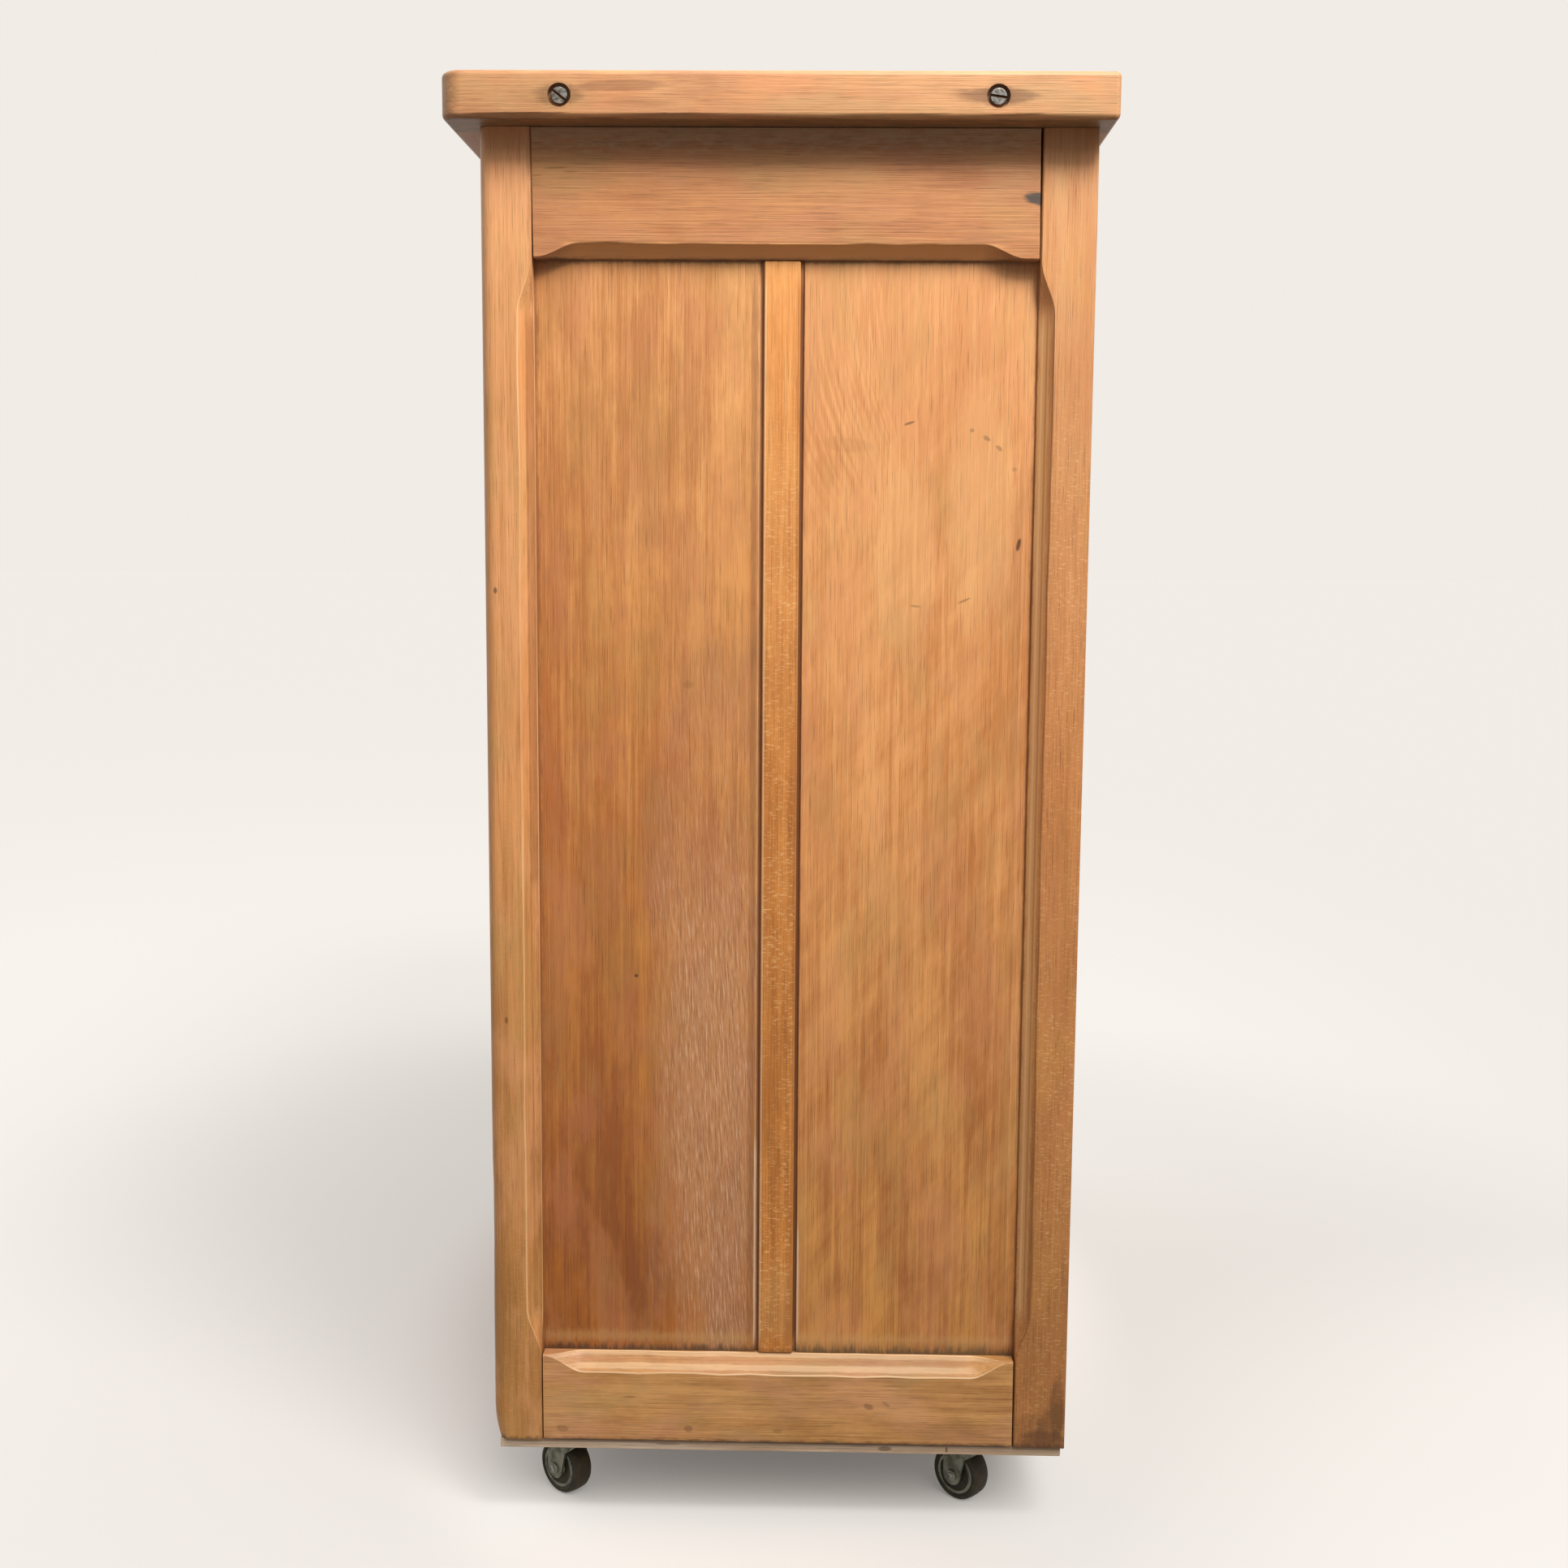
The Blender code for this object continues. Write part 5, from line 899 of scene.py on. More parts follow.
def member(name, low, high, run, arris, widths, places, rounded=None):
    """A stile or rail with a chamfer along one arris that is stopped at both ends.

    arris is {axis: place} of that arris, widths {axis: chamfer width}, places the stations from
    stations(), and rounded {axis: place} of an arris with the large outer round.
    """
    sizes = bpy.context.scene.cabinet_frame_sizes
    item = block(name, low, high)
    long_edge = along(run)
    inward = {axis: 1.0 if place == low[axis] else -1.0 for axis, place in arris.items()}
    if rounded:
        bevel(item, lambda edge: long_edge(edge) and on_line(edge, rounded), sizes.post_round, 7)

    def plain(edge):
        """Whether this is a long edge of the block that is neither chamfered nor rounded."""
        spot = edge.verts[0].co
        if not long_edge(edge) or on_line(edge, arris):
            return False
        reach = sizes.post_round + NEAR
        if rounded and all(abs(spot[axis] - place) < reach for axis, place in rounded.items()):
            return False
        return all(min(abs(spot[axis] - low[axis]), abs(spot[axis] - high[axis])) < NEAR for axis in arris)

    bevel(item, plain, sizes.arris, 2)
    full = max(widths.values())
    bevel(item, lambda edge: long_edge(edge) and on_line(edge, arris), full, 4, CHAMFER_HOLLOW)
    rims = [{**arris, axis: arris[axis] + inward[axis] * full} for axis in arris]
    bevel(item, lambda edge: long_edge(edge) and any(on_line(edge, rim) for rim in rims),
          sizes.arris * 0.7, 2)
    # Marks the rims that take the arris tint, partly rubbing and partly painted highlight
    mark_picked(item, ARRIS)

    normal = [1.0 if axis == run else 0.0 for axis in (X, Y, Z)]
    for place, _, _ in places:
        select(item, "FACE", lambda face: True)
        point = [place if axis == run else 0.0 for axis in (X, Y, Z)]
        bpy.ops.mesh.bisect(plane_co=point, plane_no=normal)
    closed = sizes.arris / full
    reach = full + sizes.arris
    for place, share, stray in ((low[run], 0.0, 0.0), *places, (high[run], 0.0, 0.0)):
        centre = Vector([arris.get(axis, place) for axis in (X, Y, Z)])
        count = select(item, "VERT", lambda vert: abs(vert.co[run] - place) < NEAR and all(
            -NEAR < (vert.co[axis] - arris[axis]) * inward[axis] < reach + NEAR for axis in arris))
        if count:
            value = [1.0, 1.0, 1.0]
            for axis in arris:
                value[axis] = closed + (widths[axis] / full - closed) * share + stray * sizes.wander / full
            bpy.ops.transform.resize(value=value, center_override=centre)
    return item


def mark_picked(item, name):
    """Marks the faces that are selected in edit mode with an attribute that a finish reads."""
    shape = bmesh.from_edit_mesh(item.data)
    layer = shape.faces.layers.float.new(name)
    for face in shape.faces:
        face[layer] = float(face.select)
    bmesh.update_edit_mesh(item.data)


class CABINET_OT_posts(bpy.types.Operator):
    """Make the four corner posts, with their stopped chamfers"""

    bl_idname = "cabinet.posts"
    bl_label = "Posts"

    def execute(self, context):
        sizes = context.scene.cabinet_frame_sizes
        look = finishes()
        for end, (low, high), inside in (("front", FRONT_POST, FRONT_EDGE), ("rear", REAR_POST, REAR_EDGE)):
            item = member(
                "post", low, high, Z, {X: FACE, Y: inside}, {X: sizes.chamfer, Y: sizes.chamfer},
                stations(PANEL_LOW, PANEL_HIGH - 0.001, sizes.post_stop, end),
                {X: FACE, Y: FRONT} if end == "front" else None,
            )
            if end == "front":
                self.ease_foot(item)
                cutters = [leaf_recess(f"hinge_right_{place}_post_leaf") for place in ("bottom", "top")]
            else:
                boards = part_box("back_panel")
                cutters = [block("rebate", (low.x - 0.01, boards[0].y - JOINT_GAP, low.z - 0.01),
                                 (boards[1].x + JOINT_GAP, BACK + 0.01, high.z + 0.01))]
            cut_away(item, cutters)
            pair(item, f"{end}_post_{{}}", "stripped_beech", look[f"{end}_stile"], f"post_{end}_{{}}")
        return {"FINISHED"}

    def ease_foot(self, item):
        """Draws the front arris in at the foot, and wears a shallow dip into it further up."""
        reach, most = 0.030, 0.0045
        dip, dip_level, dip_reach = 0.0012, 0.277, 0.035
        for place in (0.0, 0.004, 0.009, 0.015, 0.022, reach):
            select(item, "FACE", lambda face: True)
            bpy.ops.mesh.bisect(plane_co=(0.0, 0.0, BODY_BOTTOM + place), plane_no=(0.0, 0.0, 1.0))
        levels = {round(vert.co.z, 6) for vert in bmesh.from_edit_mesh(item.data).verts}
        for level in levels:
            drawn = most * max(1.0 - (level - BODY_BOTTOM) / reach, 0.0) ** 2
            drawn += dip * math.exp(-((level - dip_level) / dip_reach) ** 2)
            if drawn > 0.0001:
                select(item, "VERT", lambda vert: abs(vert.co.z - level) < NEAR and vert.co.y < FRONT + 0.009)
                bpy.ops.transform.translate(value=(0.0, drawn, 0.0))


def leaf_recess(node):
    """A block that lets a hinge's leaf into the wood."""
    low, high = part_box(node)
    if "post" in node:
        start, end = FRONT_POST[0].x - 0.01, FRONT_POST[0].x + LEAF_SUNK + JOINT_GAP
    else:
        start, end = DOOR[1].x - LEAF_SUNK - JOINT_GAP, DOOR[1].x + 0.01
    return block("recess", (start, FRONT - 0.01, low.z - JOINT_GAP),
                 (end, high.y + JOINT_GAP, high.z + JOINT_GAP))


class CABINET_OT_side_rails(bpy.types.Operator):
    """Make the top and bottom rails of both sides"""

    bl_idname = "cabinet.side_rails"
    bl_label = "Side rails"

    def execute(self, context):
        sizes = context.scene.cabinet_frame_sizes
        look = finishes()
        start, end = FRONT_EDGE + JOINT_GAP, REAR_EDGE - JOINT_GAP
        rails = (
            ("top", TOP_RAIL, PANEL_HIGH, {X: sizes.chamfer, Z: sizes.chamfer}, 0.004, 0.012),
            ("bottom", BOTTOM_RAIL, PANEL_LOW, {X: 0.0125, Z: sizes.foot_chamfer}, 0.003, 0.004),
        )
        stop, step = 0.034, 0.024
        for name, (low, high), inner, widths, front_plain, rear_plain in rails:
            low, high = Vector((low.x, start, low.z)), Vector((high.x, end, high.z))
            item = member("rail", low, high, Y, {X: FACE, Z: inner}, widths,
                          stations(start + front_plain, end - rear_plain, stop, name, step))
            self.open_shoulders(item, name, low, high)
            pair(item, f"{name}_rail_{{}}", "stripped_beech", look[f"{name}_rail"], f"side_{name}_rail_{{}}")
        return {"FINISHED"}

    def open_shoulders(self, item, name, low, high):
        """Draws the shoulders back, because the joints have opened."""
        opened = {
            "top": ((low.y, low.z, 0.0012), (high.y, high.z, -0.0018), (high.y, low.z, -0.0005)),
            "bottom": ((low.y, low.z, 0.0010), (low.y, high.z, 0.0008), (high.y, low.z, -0.0008),
                       (high.y, high.z, -0.0010)),
        }[name]
        for y, z, shift in opened:
            select(item, "VERT", lambda vert: abs(vert.co.y - y) < NEAR and abs(vert.co.z - z) < 0.04)
            bpy.ops.transform.translate(value=(0.0, shift, 0.0))


class CABINET_OT_side_panels(bpy.types.Operator):
    """Finish the side panels and the muntins between them"""

    bl_idname = "cabinet.side_panels"
    bl_label = "Side panels"

    def execute(self, context):
        look = finishes()
        for side in ("right", "left"):
            softened(f"side_muntin_{side}", "stripped_beech", look["muntin"], 0.0013, 3)
            for end in ("front", "rear"):
                panel = frame["nodes"][f"side_panel_{end}_{side}"]
                panel.material_slots[0].material = look[f"{end}_panel"]
        return {"FINISHED"}


class CABINET_OT_top(bpy.types.Operator):
    """Make the top: a board between two cleats, with their screws"""

    bl_idname = "cabinet.top"
    bl_label = "Top"

    def execute(self, context):
        sizes = context.scene.cabinet_frame_sizes
        look = finishes()
        low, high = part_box("top_cleat_right")
        item = block("top_cleat_shape", low, high)
        corner = {X: high.x, Y: low.y}
        bevel(item, lambda edge: along(Z)(edge) and on_line(edge, corner), sizes.top_corner, 12)
        rear_corner = 0.0045
        bevel(item, lambda edge: along(Z)(edge) and on_line(edge, {X: high.x, Y: high.y}), rear_corner, 5)
        inner = low.x
        bevel(item, lambda edge: any(on_line(edge, {Z: level}) for level in (low.z, high.z))
              and not on_line(edge, {X: inner}), sizes.top_round, 4)
        self.wear(item, low, high)
        deep, radius = 0.006, 0.0092
        mouths = [turned("counterbore", place - Vector((deep, 0.0, 0.0)), (1, 0, 0),
                         ((0.0, radius), (0.02, radius)), 32) for place, _ in screw_spots()]
        cut_away(item, mouths)
        pair(item, "cleat_{}", "stripped_beech", look["cleat"], "top_cleat_{}")

        low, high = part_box("top_board")
        reach = inner - JOINT_GAP
        board = block("top_slab", (-reach, low.y, low.z), (reach, high.y, high.z))
        bevel(board, lambda edge: along(X)(edge), sizes.top_round, 4)
        smooth(board)
        dress(board, "stripped_beech", look["board"], "top_board")
        self.screws(look["screw"])
        return {"FINISHED"}

    def wear(self, item, low, high):
        """Wears the lower arris unevenly."""
        chance = random.Random("top wear")
        step, count, most, depth = 0.025, 20, 0.0009, 0.004
        places = [low.y + 0.03 + step * number for number in range(count)]
        for place in places:
            select(item, "FACE", lambda face: True)
            bpy.ops.mesh.bisect(plane_co=(0.0, place, 0.0), plane_no=(0.0, 1.0, 0.0))
        for place in places:
            drawn = chance.uniform(0.0, most)
            select(item, "VERT", lambda vert: abs(vert.co.y - place) < NEAR and vert.co.x > high.x - depth
                   and vert.co.z < low.z + depth)
            bpy.ops.transform.translate(value=(-drawn, 0.0, drawn))

    def screws(self, finish):
        """Two slotted screws in each cleat."""
        for end, (place, turn) in zip(("front", "rear"), screw_spots()):
            head = turned("screw_shape", place - Vector((0.0055, 0.0, 0.0)), (1, 0, 0),
                          ((0.0, 0.0066), (0.0034, 0.0066), (0.0039, 0.0063), (0.0041, 0.0056)), 40)
            slot = block("slot", (place.x - 0.0040, place.y - 0.010, place.z - 0.0010),
                         (place.x + 0.004, place.y + 0.010, place.z + 0.0010))
            take(slot)
            bpy.ops.transform.rotate(value=turn, orient_axis="X", center_override=place)
            applied("slot")
            cut_away(head, [slot])
            # The slot's floor takes dirt and painted shade
            select(head, "FACE", lambda face: abs(face.calc_center_median().x - place.x + 0.0029) < 0.0012
                   and (face.calc_center_median() - place).length < 0.0062)
            mark_picked(head, GROOVE)
            pair(head, f"cleat_screw_{end}_{{}}", "dull_steel", finish, angle=25.0)


def screw_spots():
    """Where the right-hand cleat's screws are, with the turns of their slots."""
    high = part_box("top_cleat_right")[1]
    level = high.z - 0.0195
    return (
        (Vector((high.x, FRONT + 0.070, level)), math.radians(38.0)),
        (Vector((high.x, BACK - 0.084, level)), math.radians(8.0)),
    )


class CABINET_OT_front_frame(bpy.types.Operator):
    """Finish the front's rails, the drawer blade and the stile between the doors"""

    bl_idname = "cabinet.front_frame"
    bl_label = "Front frame"

    def execute(self, context):
        look = finishes()
        for node in ("front_top_rail", "drawer_blade", "front_bottom_rail"):
            softened(node, "stripped_beech", look["front_rail"], 0.0006)
        softened("centre_stile", "stripped_beech", look["centre"], 0.0006)
        return {"FINISHED"}


class CABINET_OT_inside(bpy.types.Operator):
    """Finish the floor, the shelf and its bearers, and the drawer's runners"""

    bl_idname = "cabinet.inside"
    bl_label = "Inside"

    def execute(self, context):
        look = finishes()
        for node in ("cupboard_floor", "shelf"):
            softened(node, "plain_pine", look["pine_across"], 0.0008)
        for side in ("right", "left"):
            softened(f"shelf_bearer_{side}", "plain_pine", look["pine_deep"], 0.0005)
            softened(f"drawer_runner_{side}", "plain_pine", look["pine_deep"], 0.0005)
        return {"FINISHED"}


class CABINET_OT_back(bpy.types.Operator):
    """Make the back's upright boards and the nails that hold them"""

    bl_idname = "cabinet.back"
    bl_label = "Back boards"

    def execute(self, context):
        look = finishes()
        low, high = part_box("back_panel")
        count = 8
        width = (high.x - low.x) / count
        chance = random.Random("back boards")
        for number in range(count):
            start = low.x + number * width
            back = high.y - chance.uniform(0.0, 0.0005)
            joint = 0.0002
            board = block(f"back_board_{number + 1}", (start + joint, low.y, low.z),
                          (start + width - joint, back, high.z))
            bevel(board, lambda edge: along(Z)(edge) and abs(edge.verts[0].co.y - back) < NEAR,
                  0.0021, 3, 0.35)
            smooth(board)
            nodes = ("back_panel",) if number == 0 else ()
            dress(board, "plain_pine", look["pine"], *nodes)
            for row, level in enumerate((low.z + 0.022, high.z - 0.022)):
                for column, share in enumerate((0.25, 0.75)):
                    height = level + chance.uniform(-0.003, 0.003)
                    place = (start + width * share, back - 0.0004, height)
                    nail = turned(f"back_nail_{number + 1}_{row + 1}_{column + 1}", place, (0, 1, 0),
                                  ((0.0, 0.0022), (0.0006, 0.0022), (0.0009, 0.0017)), 12)
                    dress(nail, "dull_steel", look["screw"])
        return {"FINISHED"}


class CABINET_OT_base(bpy.types.Operator):
    """Make the base board and the castors' plates, races and kingpins"""

    bl_idname = "cabinet.base"
    bl_label = "Base"

    def execute(self, context):
        sizes = context.scene.cabinet_castor_sizes
        look = finishes()
        low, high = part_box("base_board")
        under = BODY_BOTTOM - JOINT_GAP - SHEET_THICK
        board = block("base_sheet", (low.x, low.y, under), (high.x, high.y, high.z))
        bevel(board, lambda edge: True, 0.0009, 2)
        smooth(board)
        dress(board, "base_plywood", look["ply"], "base_board")
        half = sizes.plate / 2
        below = under - PLATE_THICK
        for corner, (x, y) in swivels().items():
            plate = block(f"castor_plate_{corner}", (x - half, y - half, below), (x + half, y + half, under))
            bevel(plate, along(Z), 0.006, 6)
            bevel(plate, lambda edge: on_line(edge, {Z: below}), 0.0005, 2)
            smooth(plate)
            dress(plate, "dull_steel", look["steel"])
            race = turned(f"castor_race_{corner}", (x, y, below), (0, 0, -1), (
                (0.0, 0.0168), (0.0008, 0.0172), (0.0018, 0.0170), (0.0026, 0.0158), (0.0028, 0.0150),
                (0.0028, 0.0044), (0.0062, 0.0044), (0.0062, 0.0066), (0.0070, 0.0064), (0.0079, 0.0052),
                (0.0083, 0.0030),
            ), 40)
            dress(race, "dull_steel", look["steel"])
            for number, (east, north) in enumerate(((1, 1), (1, -1), (-1, -1), (-1, 1))):
                spot = (x + east * (half - 0.0065), y + north * (half - 0.0065), below)
                dome = [(depth, share * sizes.plate_screw)
                        for depth, share in ((0.0, 1.0), (0.0007, 0.92), (0.0013, 0.6), (0.0015, 0.25))]
                screw = turned(f"plate_screw_{corner}_{number + 1}", spot, (0, 0, -1), dome, 16)
                dress(screw, "dull_steel", look["screw"])
        return {"FINISHED"}


def swivels():
    """x and y of each castor's swivel axis."""
    found = {}
    for joint in frame["joints"]:
        if joint["name"].endswith("_swivel"):
            found[joint["name"].removesuffix("_swivel")] = tuple(joint["pos_m"][:2])
    return found


class CABINET_OT_castors(bpy.types.Operator):
    """Make the forks and wheels of the four castors"""

    bl_idname = "cabinet.castors"
    bl_label = "Castors"

    def execute(self, context):
        sizes = context.scene.cabinet_castor_sizes
        look = finishes()
        for end in ("front", "rear"):
            for side in ("right", "left"):
                corner = f"{end}_{side}"
                softened(f"castor_fork_{corner}", "dull_steel", look["steel"], sizes.pressed_edge,
                         body=f"{corner}_fork")
                self.wheel(corner, sizes, look)
        return {"FINISHED"}

    def wheel(self, corner, sizes, look):
        """A rubber tyre on a pressed steel wheel, turned on its own axle."""
        swivel = Vector((*swivels()[corner], 0.0))
        low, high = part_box(f"castor_wheel_{corner}")
        centre = (low + high) / 2
        trail = Vector((centre.x - swivel.x, centre.y - swivel.y, 0.0)).normalized()
        axle = Vector((-trail.y, trail.x, 0.0))
        radius = (high.z - low.z) / 2
        rim = radius - sizes.tyre_depth
        side = 0.0106           # Half the tyre's width
        half = [(side - 0.0016, rim - 0.001), (side - 0.0004, rim + 0.0004), (side, rim + 0.0014),
                (side - 0.0001, radius - 0.0034), (side - 0.0012, radius - 0.0016),
                (side - 0.0030, radius - 0.0005), (0.0026, radius)]
        tyre = self.turned_both_ways(f"tyre_{corner}", centre, axle, half, sizes.sides)
        select(tyre, "FACE", lambda face: self.off_axle(face, centre, axle) > radius - 0.0016)
        mark_picked(tyre, TREAD)
        dress(tyre, "dark_rubber", look["rubber"], f"castor_wheel_{corner}", body=f"{corner}_wheel")
        half = [(0.0108, 0.0030), (0.0108, 0.0066), (0.0100, 0.0074), (0.0088, 0.0080), (0.0084, 0.0110),
                (0.0078, 0.0118), (0.0044, 0.0122), (0.0044, rim - 0.0046), (0.0088, rim - 0.0040),
                (0.0099, rim - 0.0034), (0.0101, rim - 0.0012), (0.0094, rim - 0.0003), (0.0078, rim)]
        disc = self.turned_both_ways(f"wheel_{corner}", centre, axle, half, sizes.sides)
        # The groove takes dirt and painted shade
        select(disc, "FACE", lambda face: 0.0117 < self.off_axle(face, centre, axle) < rim - 0.0041)
        mark_picked(disc, GROOVE)
        dress(disc, "dull_steel", look["steel"], body=f"{corner}_wheel")
        for way, end in ((1.0, "outer"), (-1.0, "inner")):
            head = turned(f"axle_end_{corner}_{end}", centre + axle * way * 0.0163, axle * way, (
                (0.0, 0.0031), (0.0006, 0.0031), (0.0010, 0.0026), (0.0013, 0.0016),
            ), 24)
            dress(head, "dull_steel", look["screw"], body=f"{corner}_fork")

    def turned_both_ways(self, name, centre, axle, half, sides):
        """A turned shape that is the same on both sides of its middle."""
        profile = [(-reach, at) for reach, at in half] + [(reach, at) for reach, at in reversed(half)]
        return turned(name, centre, axle, profile, sides)

    def off_axle(self, face, centre, axle):
        """How far the middle of a face is from the axle."""
        arm = face.calc_center_median() - centre
        return (arm - axle * arm.dot(axle)).length


class CABINET_OT_doors(bpy.types.Operator):
    """Make both doors: stiles, rails and muntins, and give their panels a finish"""

    bl_idname = "cabinet.doors"
    bl_label = "Doors"

    def execute(self, context):
        sizes = context.scene.cabinet_frame_sizes
        look = finishes()
        low, high = DOOR
        stile = sizes.door_stile
        near, far = low.x + stile, high.x - stile
        foot, head = low.z + DOOR_FOOT_RAIL, high.z - DOOR_HEAD_RAIL
        left, right = near + 0.0002, far - 0.0002       # The rails' ends, let in between the stiles
        stile_stops = stations(foot, head, sizes.post_stop, "door stile")
        rail_stops = stations(near + 0.012, far - 0.012, sizes.rail_stop, "door rail", 0.03)
        pieces = {}
        for part, start, end, run, arris, stops in (
            ("hinge_stile", (far, low.y, low.z), high, Z, {X: far, Y: low.y}, stile_stops),
            ("lock_stile", low, (near, high.y, high.z), Z, {X: near, Y: low.y}, stile_stops),
            ("top_rail", (left, low.y, head), (right, high.y, high.z), X, {Z: head, Y: low.y}, rail_stops),
            ("bottom_rail", (left, low.y, low.z), (right, high.y, foot), X, {Z: foot, Y: low.y}, rail_stops),
        ):
            widths = dict.fromkeys(arris, sizes.door_chamfer)
            pieces[part] = member("shape", start, end, run, arris, widths, stops)
        cut_away(pieces["hinge_stile"],
                 [leaf_recess(f"hinge_right_{end}_door_leaf") for end in ("bottom", "top")])
        middle = (near + far) / 2
        pieces["muntin"] = block("shape", (middle - 0.0148, low.y + 0.008, foot - 0.009),
                                 (middle + 0.0148, low.y + 0.0195, head + 0.009))
        bevel(pieces["muntin"], along(Z), 0.0013, 3)
        for part, item in pieces.items():
            nodes = ("door_{}_frame",) if part == "hinge_stile" else ()
            pair(item, f"{{}}_door_{part}", "stripped_beech",
                 look["door_rail" if part.endswith("rail") else "centre"], *nodes, body="{}_door")
        for side in ("right", "left"):
            for name in ("inner", "outer"):
                panel = frame["nodes"][f"door_{side}_panel_{name}"]
                panel.material_slots[0].material = look["door_panel"]
        return {"FINISHED"}


class CABINET_OT_hinges(bpy.types.Operator):
    """Finish the doors' brass butt hinges"""

    bl_idname = "cabinet.hinges"
    bl_label = "Hinges"

    def execute(self, context):
        look = finishes()
        for side in ("right", "left"):
            for end in ("bottom", "top"):
                for leaf, body in (("door", f"{side}_door"), ("post", "cabinet")):
                    node = f"hinge_{side}_{end}_{leaf}_leaf"
                    softened(node, "aged_brass", look["brass"], 0.0002, body=body)
        return {"FINISHED"}


class CABINET_OT_knobs(bpy.types.Operator):
    """Make the turned knobs of the doors and the drawer"""

    bl_idname = "cabinet.knobs"
    bl_label = "Knobs"

    def execute(self, context):
        look = finishes()
        profile = [(0.0, 0.0108), (0.0018, 0.0108), (0.0030, 0.0102), (0.0040, 0.0086), (0.0056, 0.0076),
                   (0.0086, 0.0075), (0.0104, 0.0084), (0.0120, 0.0112)]
        # The ball, which is flatter towards the neck
        for turn in range(-40, 86, 10):
            angle = math.radians(turn)
            flat = 1.0 if turn > 0 else 0.85
            profile.append((0.0170 + 0.0090 * math.sin(angle) * flat, 0.0170 * math.cos(angle) ** 0.8))
        profile.append((0.0260, 0.0))
        for node, body in (("door_right_knob", "right_door"), ("door_left_knob", "left_door"),
                           ("drawer_knob_right", "drawer"), ("drawer_knob_left", "drawer")):
            low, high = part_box(node)
            foot = Vector(((low.x + high.x) / 2, FRONT - 0.0002, (low.z + high.z) / 2))
            knob = turned(f"{node}_turned", foot, (0, -1, 0), profile, 48, 50.0)
            dress(knob, "stripped_beech", look["centre"], node, body=body)
        return {"FINISHED"}


class CABINET_OT_drawer(bpy.types.Operator):
    """Finish the drawer's front, sides, back and bottom"""

    bl_idname = "cabinet.drawer"
    bl_label = "Drawer"

    def execute(self, context):
        look = finishes()
        softened("drawer_front", "stripped_beech", look["front_rail"], 0.0008, body="drawer")
        for node, finish in (("drawer_side_right", "pine_deep"), ("drawer_side_left", "pine_deep"),
                             ("drawer_back", "pine_across"), ("drawer_bottom", "pine_across")):
            softened(node, "plain_pine", look[finish], 0.0006, body="drawer")
        return {"FINISHED"}


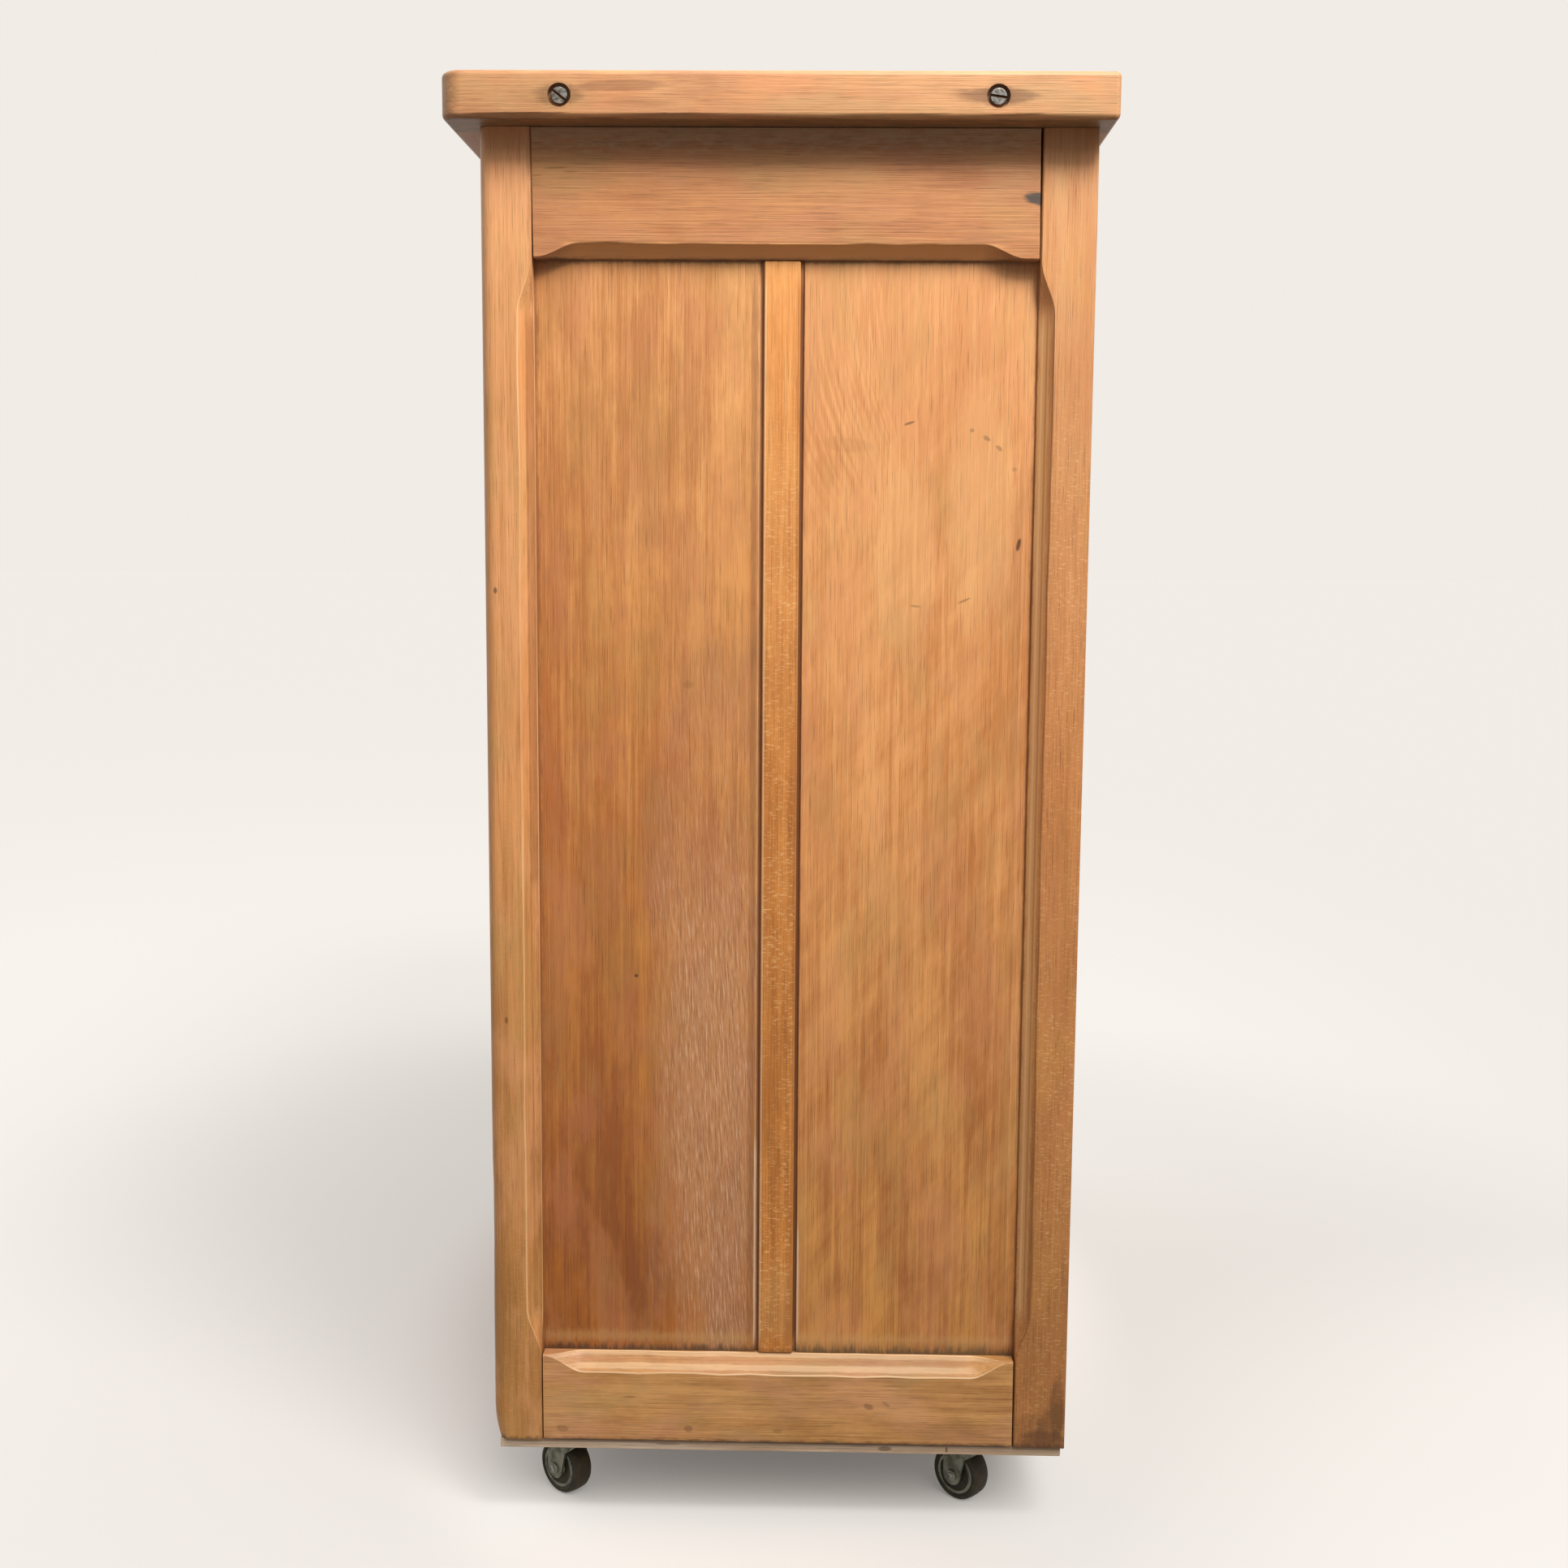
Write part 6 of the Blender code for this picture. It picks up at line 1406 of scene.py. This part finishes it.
class CABINET_OT_stage(bpy.types.Operator):
    """Make the floor, the lamps, the background and the camera"""

    bl_idname = "cabinet.stage"
    bl_label = "Stage"

    def execute(self, context):
        stage = context.scene.cabinet_stage
        bare()
        reach = stage.floor_reach
        bpy.ops.mesh.primitive_plane_add(size=2 * reach, location=(0.0, 0.0, 0.0))
        floor = applied("studio_floor")
        floor.data.materials.append(self.floor_paint(stage))
        self.background(context, stage)
        self.lamps(stage)
        self.camera(context, stage)
        context.scene.view_settings.view_transform = "Standard"
        return {"FINISHED"}

    def floor_paint(self, stage):
        """Matt painted board: pale to the eye, lit partly by painted light where it is seen, and a plain grey
        to the light that it throws back.
        """
        made, tree, shader = blank("Matt painted studio floor")
        seen = self.seen(tree)
        place = add(tree, "TexCoord", out="Object")
        # near is 1 under the cabinet, far 1 well away from it, aside 1 behind its right-hand corner. Away
        # from the cabinet painted light stands in for most of the real light and softens its shadow, and
        # behind that corner it paints a pool of light.
        under = add(tree, "Mapping", place, (0.0, -0.02, 0.0), NO_TURN, (0.62, 0.34, 1.0),
                    vector_type="TEXTURE")
        under = add(tree, "VectorMath", under, operation="LENGTH", out="Value")
        near = add(tree, "MapRange", under, 1.25, 0.85, **EASED)
        away = add(tree, "VectorMath", place, (-0.35, 0.0, 0.0), operation="DISTANCE", out="Value")
        far = add(tree, "MapRange", away, 0.50, 1.25, **EASED)
        aside = add(tree, "VectorMath", place, (0.5, 0.9, 0.0), operation="DISTANCE", out="Value")
        aside = add(tree, "MapRange", aside, 0.80, 0.30, **EASED)

        near_tint, far_tint = ((*(value * share for value in stage.backdrop), 1.0) for share in (0.81, 0.32))
        pale = add(tree, "Mix", near, named={6: far_tint, 7: near_tint}, **TINTS)
        tint = add(tree, "Mix", seen, named={6: (0.15, 0.14, 0.13, 1.0), 7: pale}, **TINTS)
        tree.links.new(tint, shader.inputs["Base Color"])
        shader.inputs["Roughness"].default_value = 1.0
        shader.inputs["Specular IOR Level"].default_value = 0.0
        shader.inputs["Emission Color"].default_value = (*stage.backdrop, 1.0)
        # Painted light, seen only: weak under the cabinet, stronger far off, with a painted pool of light
        # behind its right-hand corner
        painted_floor_light = 0.53
        for where, share in ((near, -0.39), (far, 0.12), (aside, 0.12)):
            painted_floor_light = add(tree, "Math", where, share, painted_floor_light, operation="MULTIPLY_ADD")
        painted_floor_light = add(tree, "Math", seen, painted_floor_light, operation="MULTIPLY")
        tree.links.new(painted_floor_light, shader.inputs["Emission Strength"])
        return made

    def seen(self, tree):
        """1 where the camera, a gloss or a glass sees this, and 0 for the light that it throws."""
        path = add(tree, "LightPath").node.outputs
        seen = add(tree, "Math", path["Is Camera Ray"], path["Is Glossy Ray"], operation="MAXIMUM")
        return add(tree, "Math", seen, path["Is Transmission Ray"], operation="MAXIMUM")

    def background(self, context, stage):
        """The backdrop's colour where it is seen, and an even light elsewhere."""
        world = bpy.data.worlds.new("Studio")
        context.scene.world = world
        world.use_nodes = True
        tree = world.node_tree
        shader = tree.nodes["Background"]
        way = add(tree, "TexCoord", out="Generated")
        rising = add(tree, "SeparateXYZ", way, out="Z")
        even = add(tree, "MapRange", rising, 0.0, 0.9, stage.horizon, stage.zenith, **EASED)
        even = add(tree, "CombineXYZ", even, even, even)
        tint = add(tree, "Mix", self.seen(tree), named={6: even, 7: (*stage.backdrop, 1.0)}, **TINTS)
        tree.links.new(tint, shader.inputs["Color"])
        shader.inputs["Strength"].default_value = 1.0

    def lamps(self, stage):
        """A soft lamp on the right, a weaker one on the front and the left, and one above the side."""
        for name, kind, place, source, settings in (
            ("soft_lamp", "SUN", (3.0, 3.0, 4.0), (0.60, 0.33, 0.72),
             {"energy": stage.sun, "angle": math.radians(40.0)}),
            ("fill_lamp", "SUN", (-2.0, -3.0, 2.0), (-0.42, -0.80, 0.42),
             {"energy": stage.fill, "angle": math.radians(70.0)}),
            ("window_lamp", "AREA", (1.4, 0.7, 2.6), (1.4, 0.7, 1.3),
             {"energy": stage.window, "shape": "DISK", "size": 0.9, "spread": math.radians(60.0)}),
        ):
            bare()
            bpy.ops.object.light_add(type=kind, location=place)
            lamp = bpy.context.object
            lamp.name = name
            lamp.rotation_euler = Vector(source).to_track_quat("Z", "Y").to_euler()
            for key, value in settings.items():
                setattr(lamp.data, key, value)

    def camera(self, context, stage):
        """The camera at the side, a little below the top's height, looking slightly down."""
        forward = Vector((-0.9917, -0.0210, -0.1272))
        up = Vector((-0.1283, -0.0101, 0.9917))
        back = -forward.normalized()
        side = up.cross(back).normalized()
        up = back.cross(side)
        bare()
        bpy.ops.object.camera_add(location=(2.1035, 0.0417, 0.8661))
        camera = bpy.context.object
        camera.name = "side_camera"
        camera.rotation_euler = Matrix((side, up, back)).transposed().to_euler()
        camera.data.sensor_width = 36.0
        camera.data.lens = stage.lens
        context.scene.camera = camera


PIECES = (
    CABINET_OT_finishes, CABINET_OT_posts, CABINET_OT_side_rails, CABINET_OT_side_panels, CABINET_OT_top,
    CABINET_OT_front_frame, CABINET_OT_inside, CABINET_OT_back, CABINET_OT_base, CABINET_OT_castors,
    CABINET_OT_doors, CABINET_OT_hinges, CABINET_OT_knobs, CABINET_OT_drawer, CABINET_OT_stage,
)
GROUPS = {
    "cabinet_frame_sizes": CabinetFrameSizes,
    "cabinet_castor_sizes": CabinetCastorSizes,
    "cabinet_colours": CabinetColours,
    "cabinet_stage": CabinetStage,
}


class CABINET_PT_pieces(bpy.types.Panel):
    """Lists the cabinet's pieces and sizes"""

    bl_idname = "CABINET_PT_pieces"
    bl_label = "Cabinet"
    bl_space_type = "VIEW_3D"
    bl_region_type = "UI"
    bl_category = "Cabinet"

    def draw(self, context):
        for piece in PIECES:
            self.layout.operator(piece.bl_idname)
        for name, group in GROUPS.items():
            box = self.layout.box()
            for key in group.__annotations__:
                box.prop(getattr(context.scene, name), key)


def register():
    """Makes the add-on known to Blender."""
    for item in (*GROUPS.values(), *PIECES, CABINET_PT_pieces):
        bpy.utils.register_class(item)
    for name, group in GROUPS.items():
        setattr(bpy.types.Scene, name, PointerProperty(type=group))


def unregister():
    """Takes the add-on out of Blender."""
    for name in GROUPS:
        delattr(bpy.types.Scene, name)
    for item in reversed((*GROUPS.values(), *PIECES, CABINET_PT_pieces)):
        bpy.utils.unregister_class(item)


def main():
    """Builds the cabinet."""
    register()
    for piece in PIECES:
        group, name = piece.bl_idname.split(".")
        getattr(getattr(bpy.ops, group), name)()
    bare()


if __name__ == "__main__":
    main()
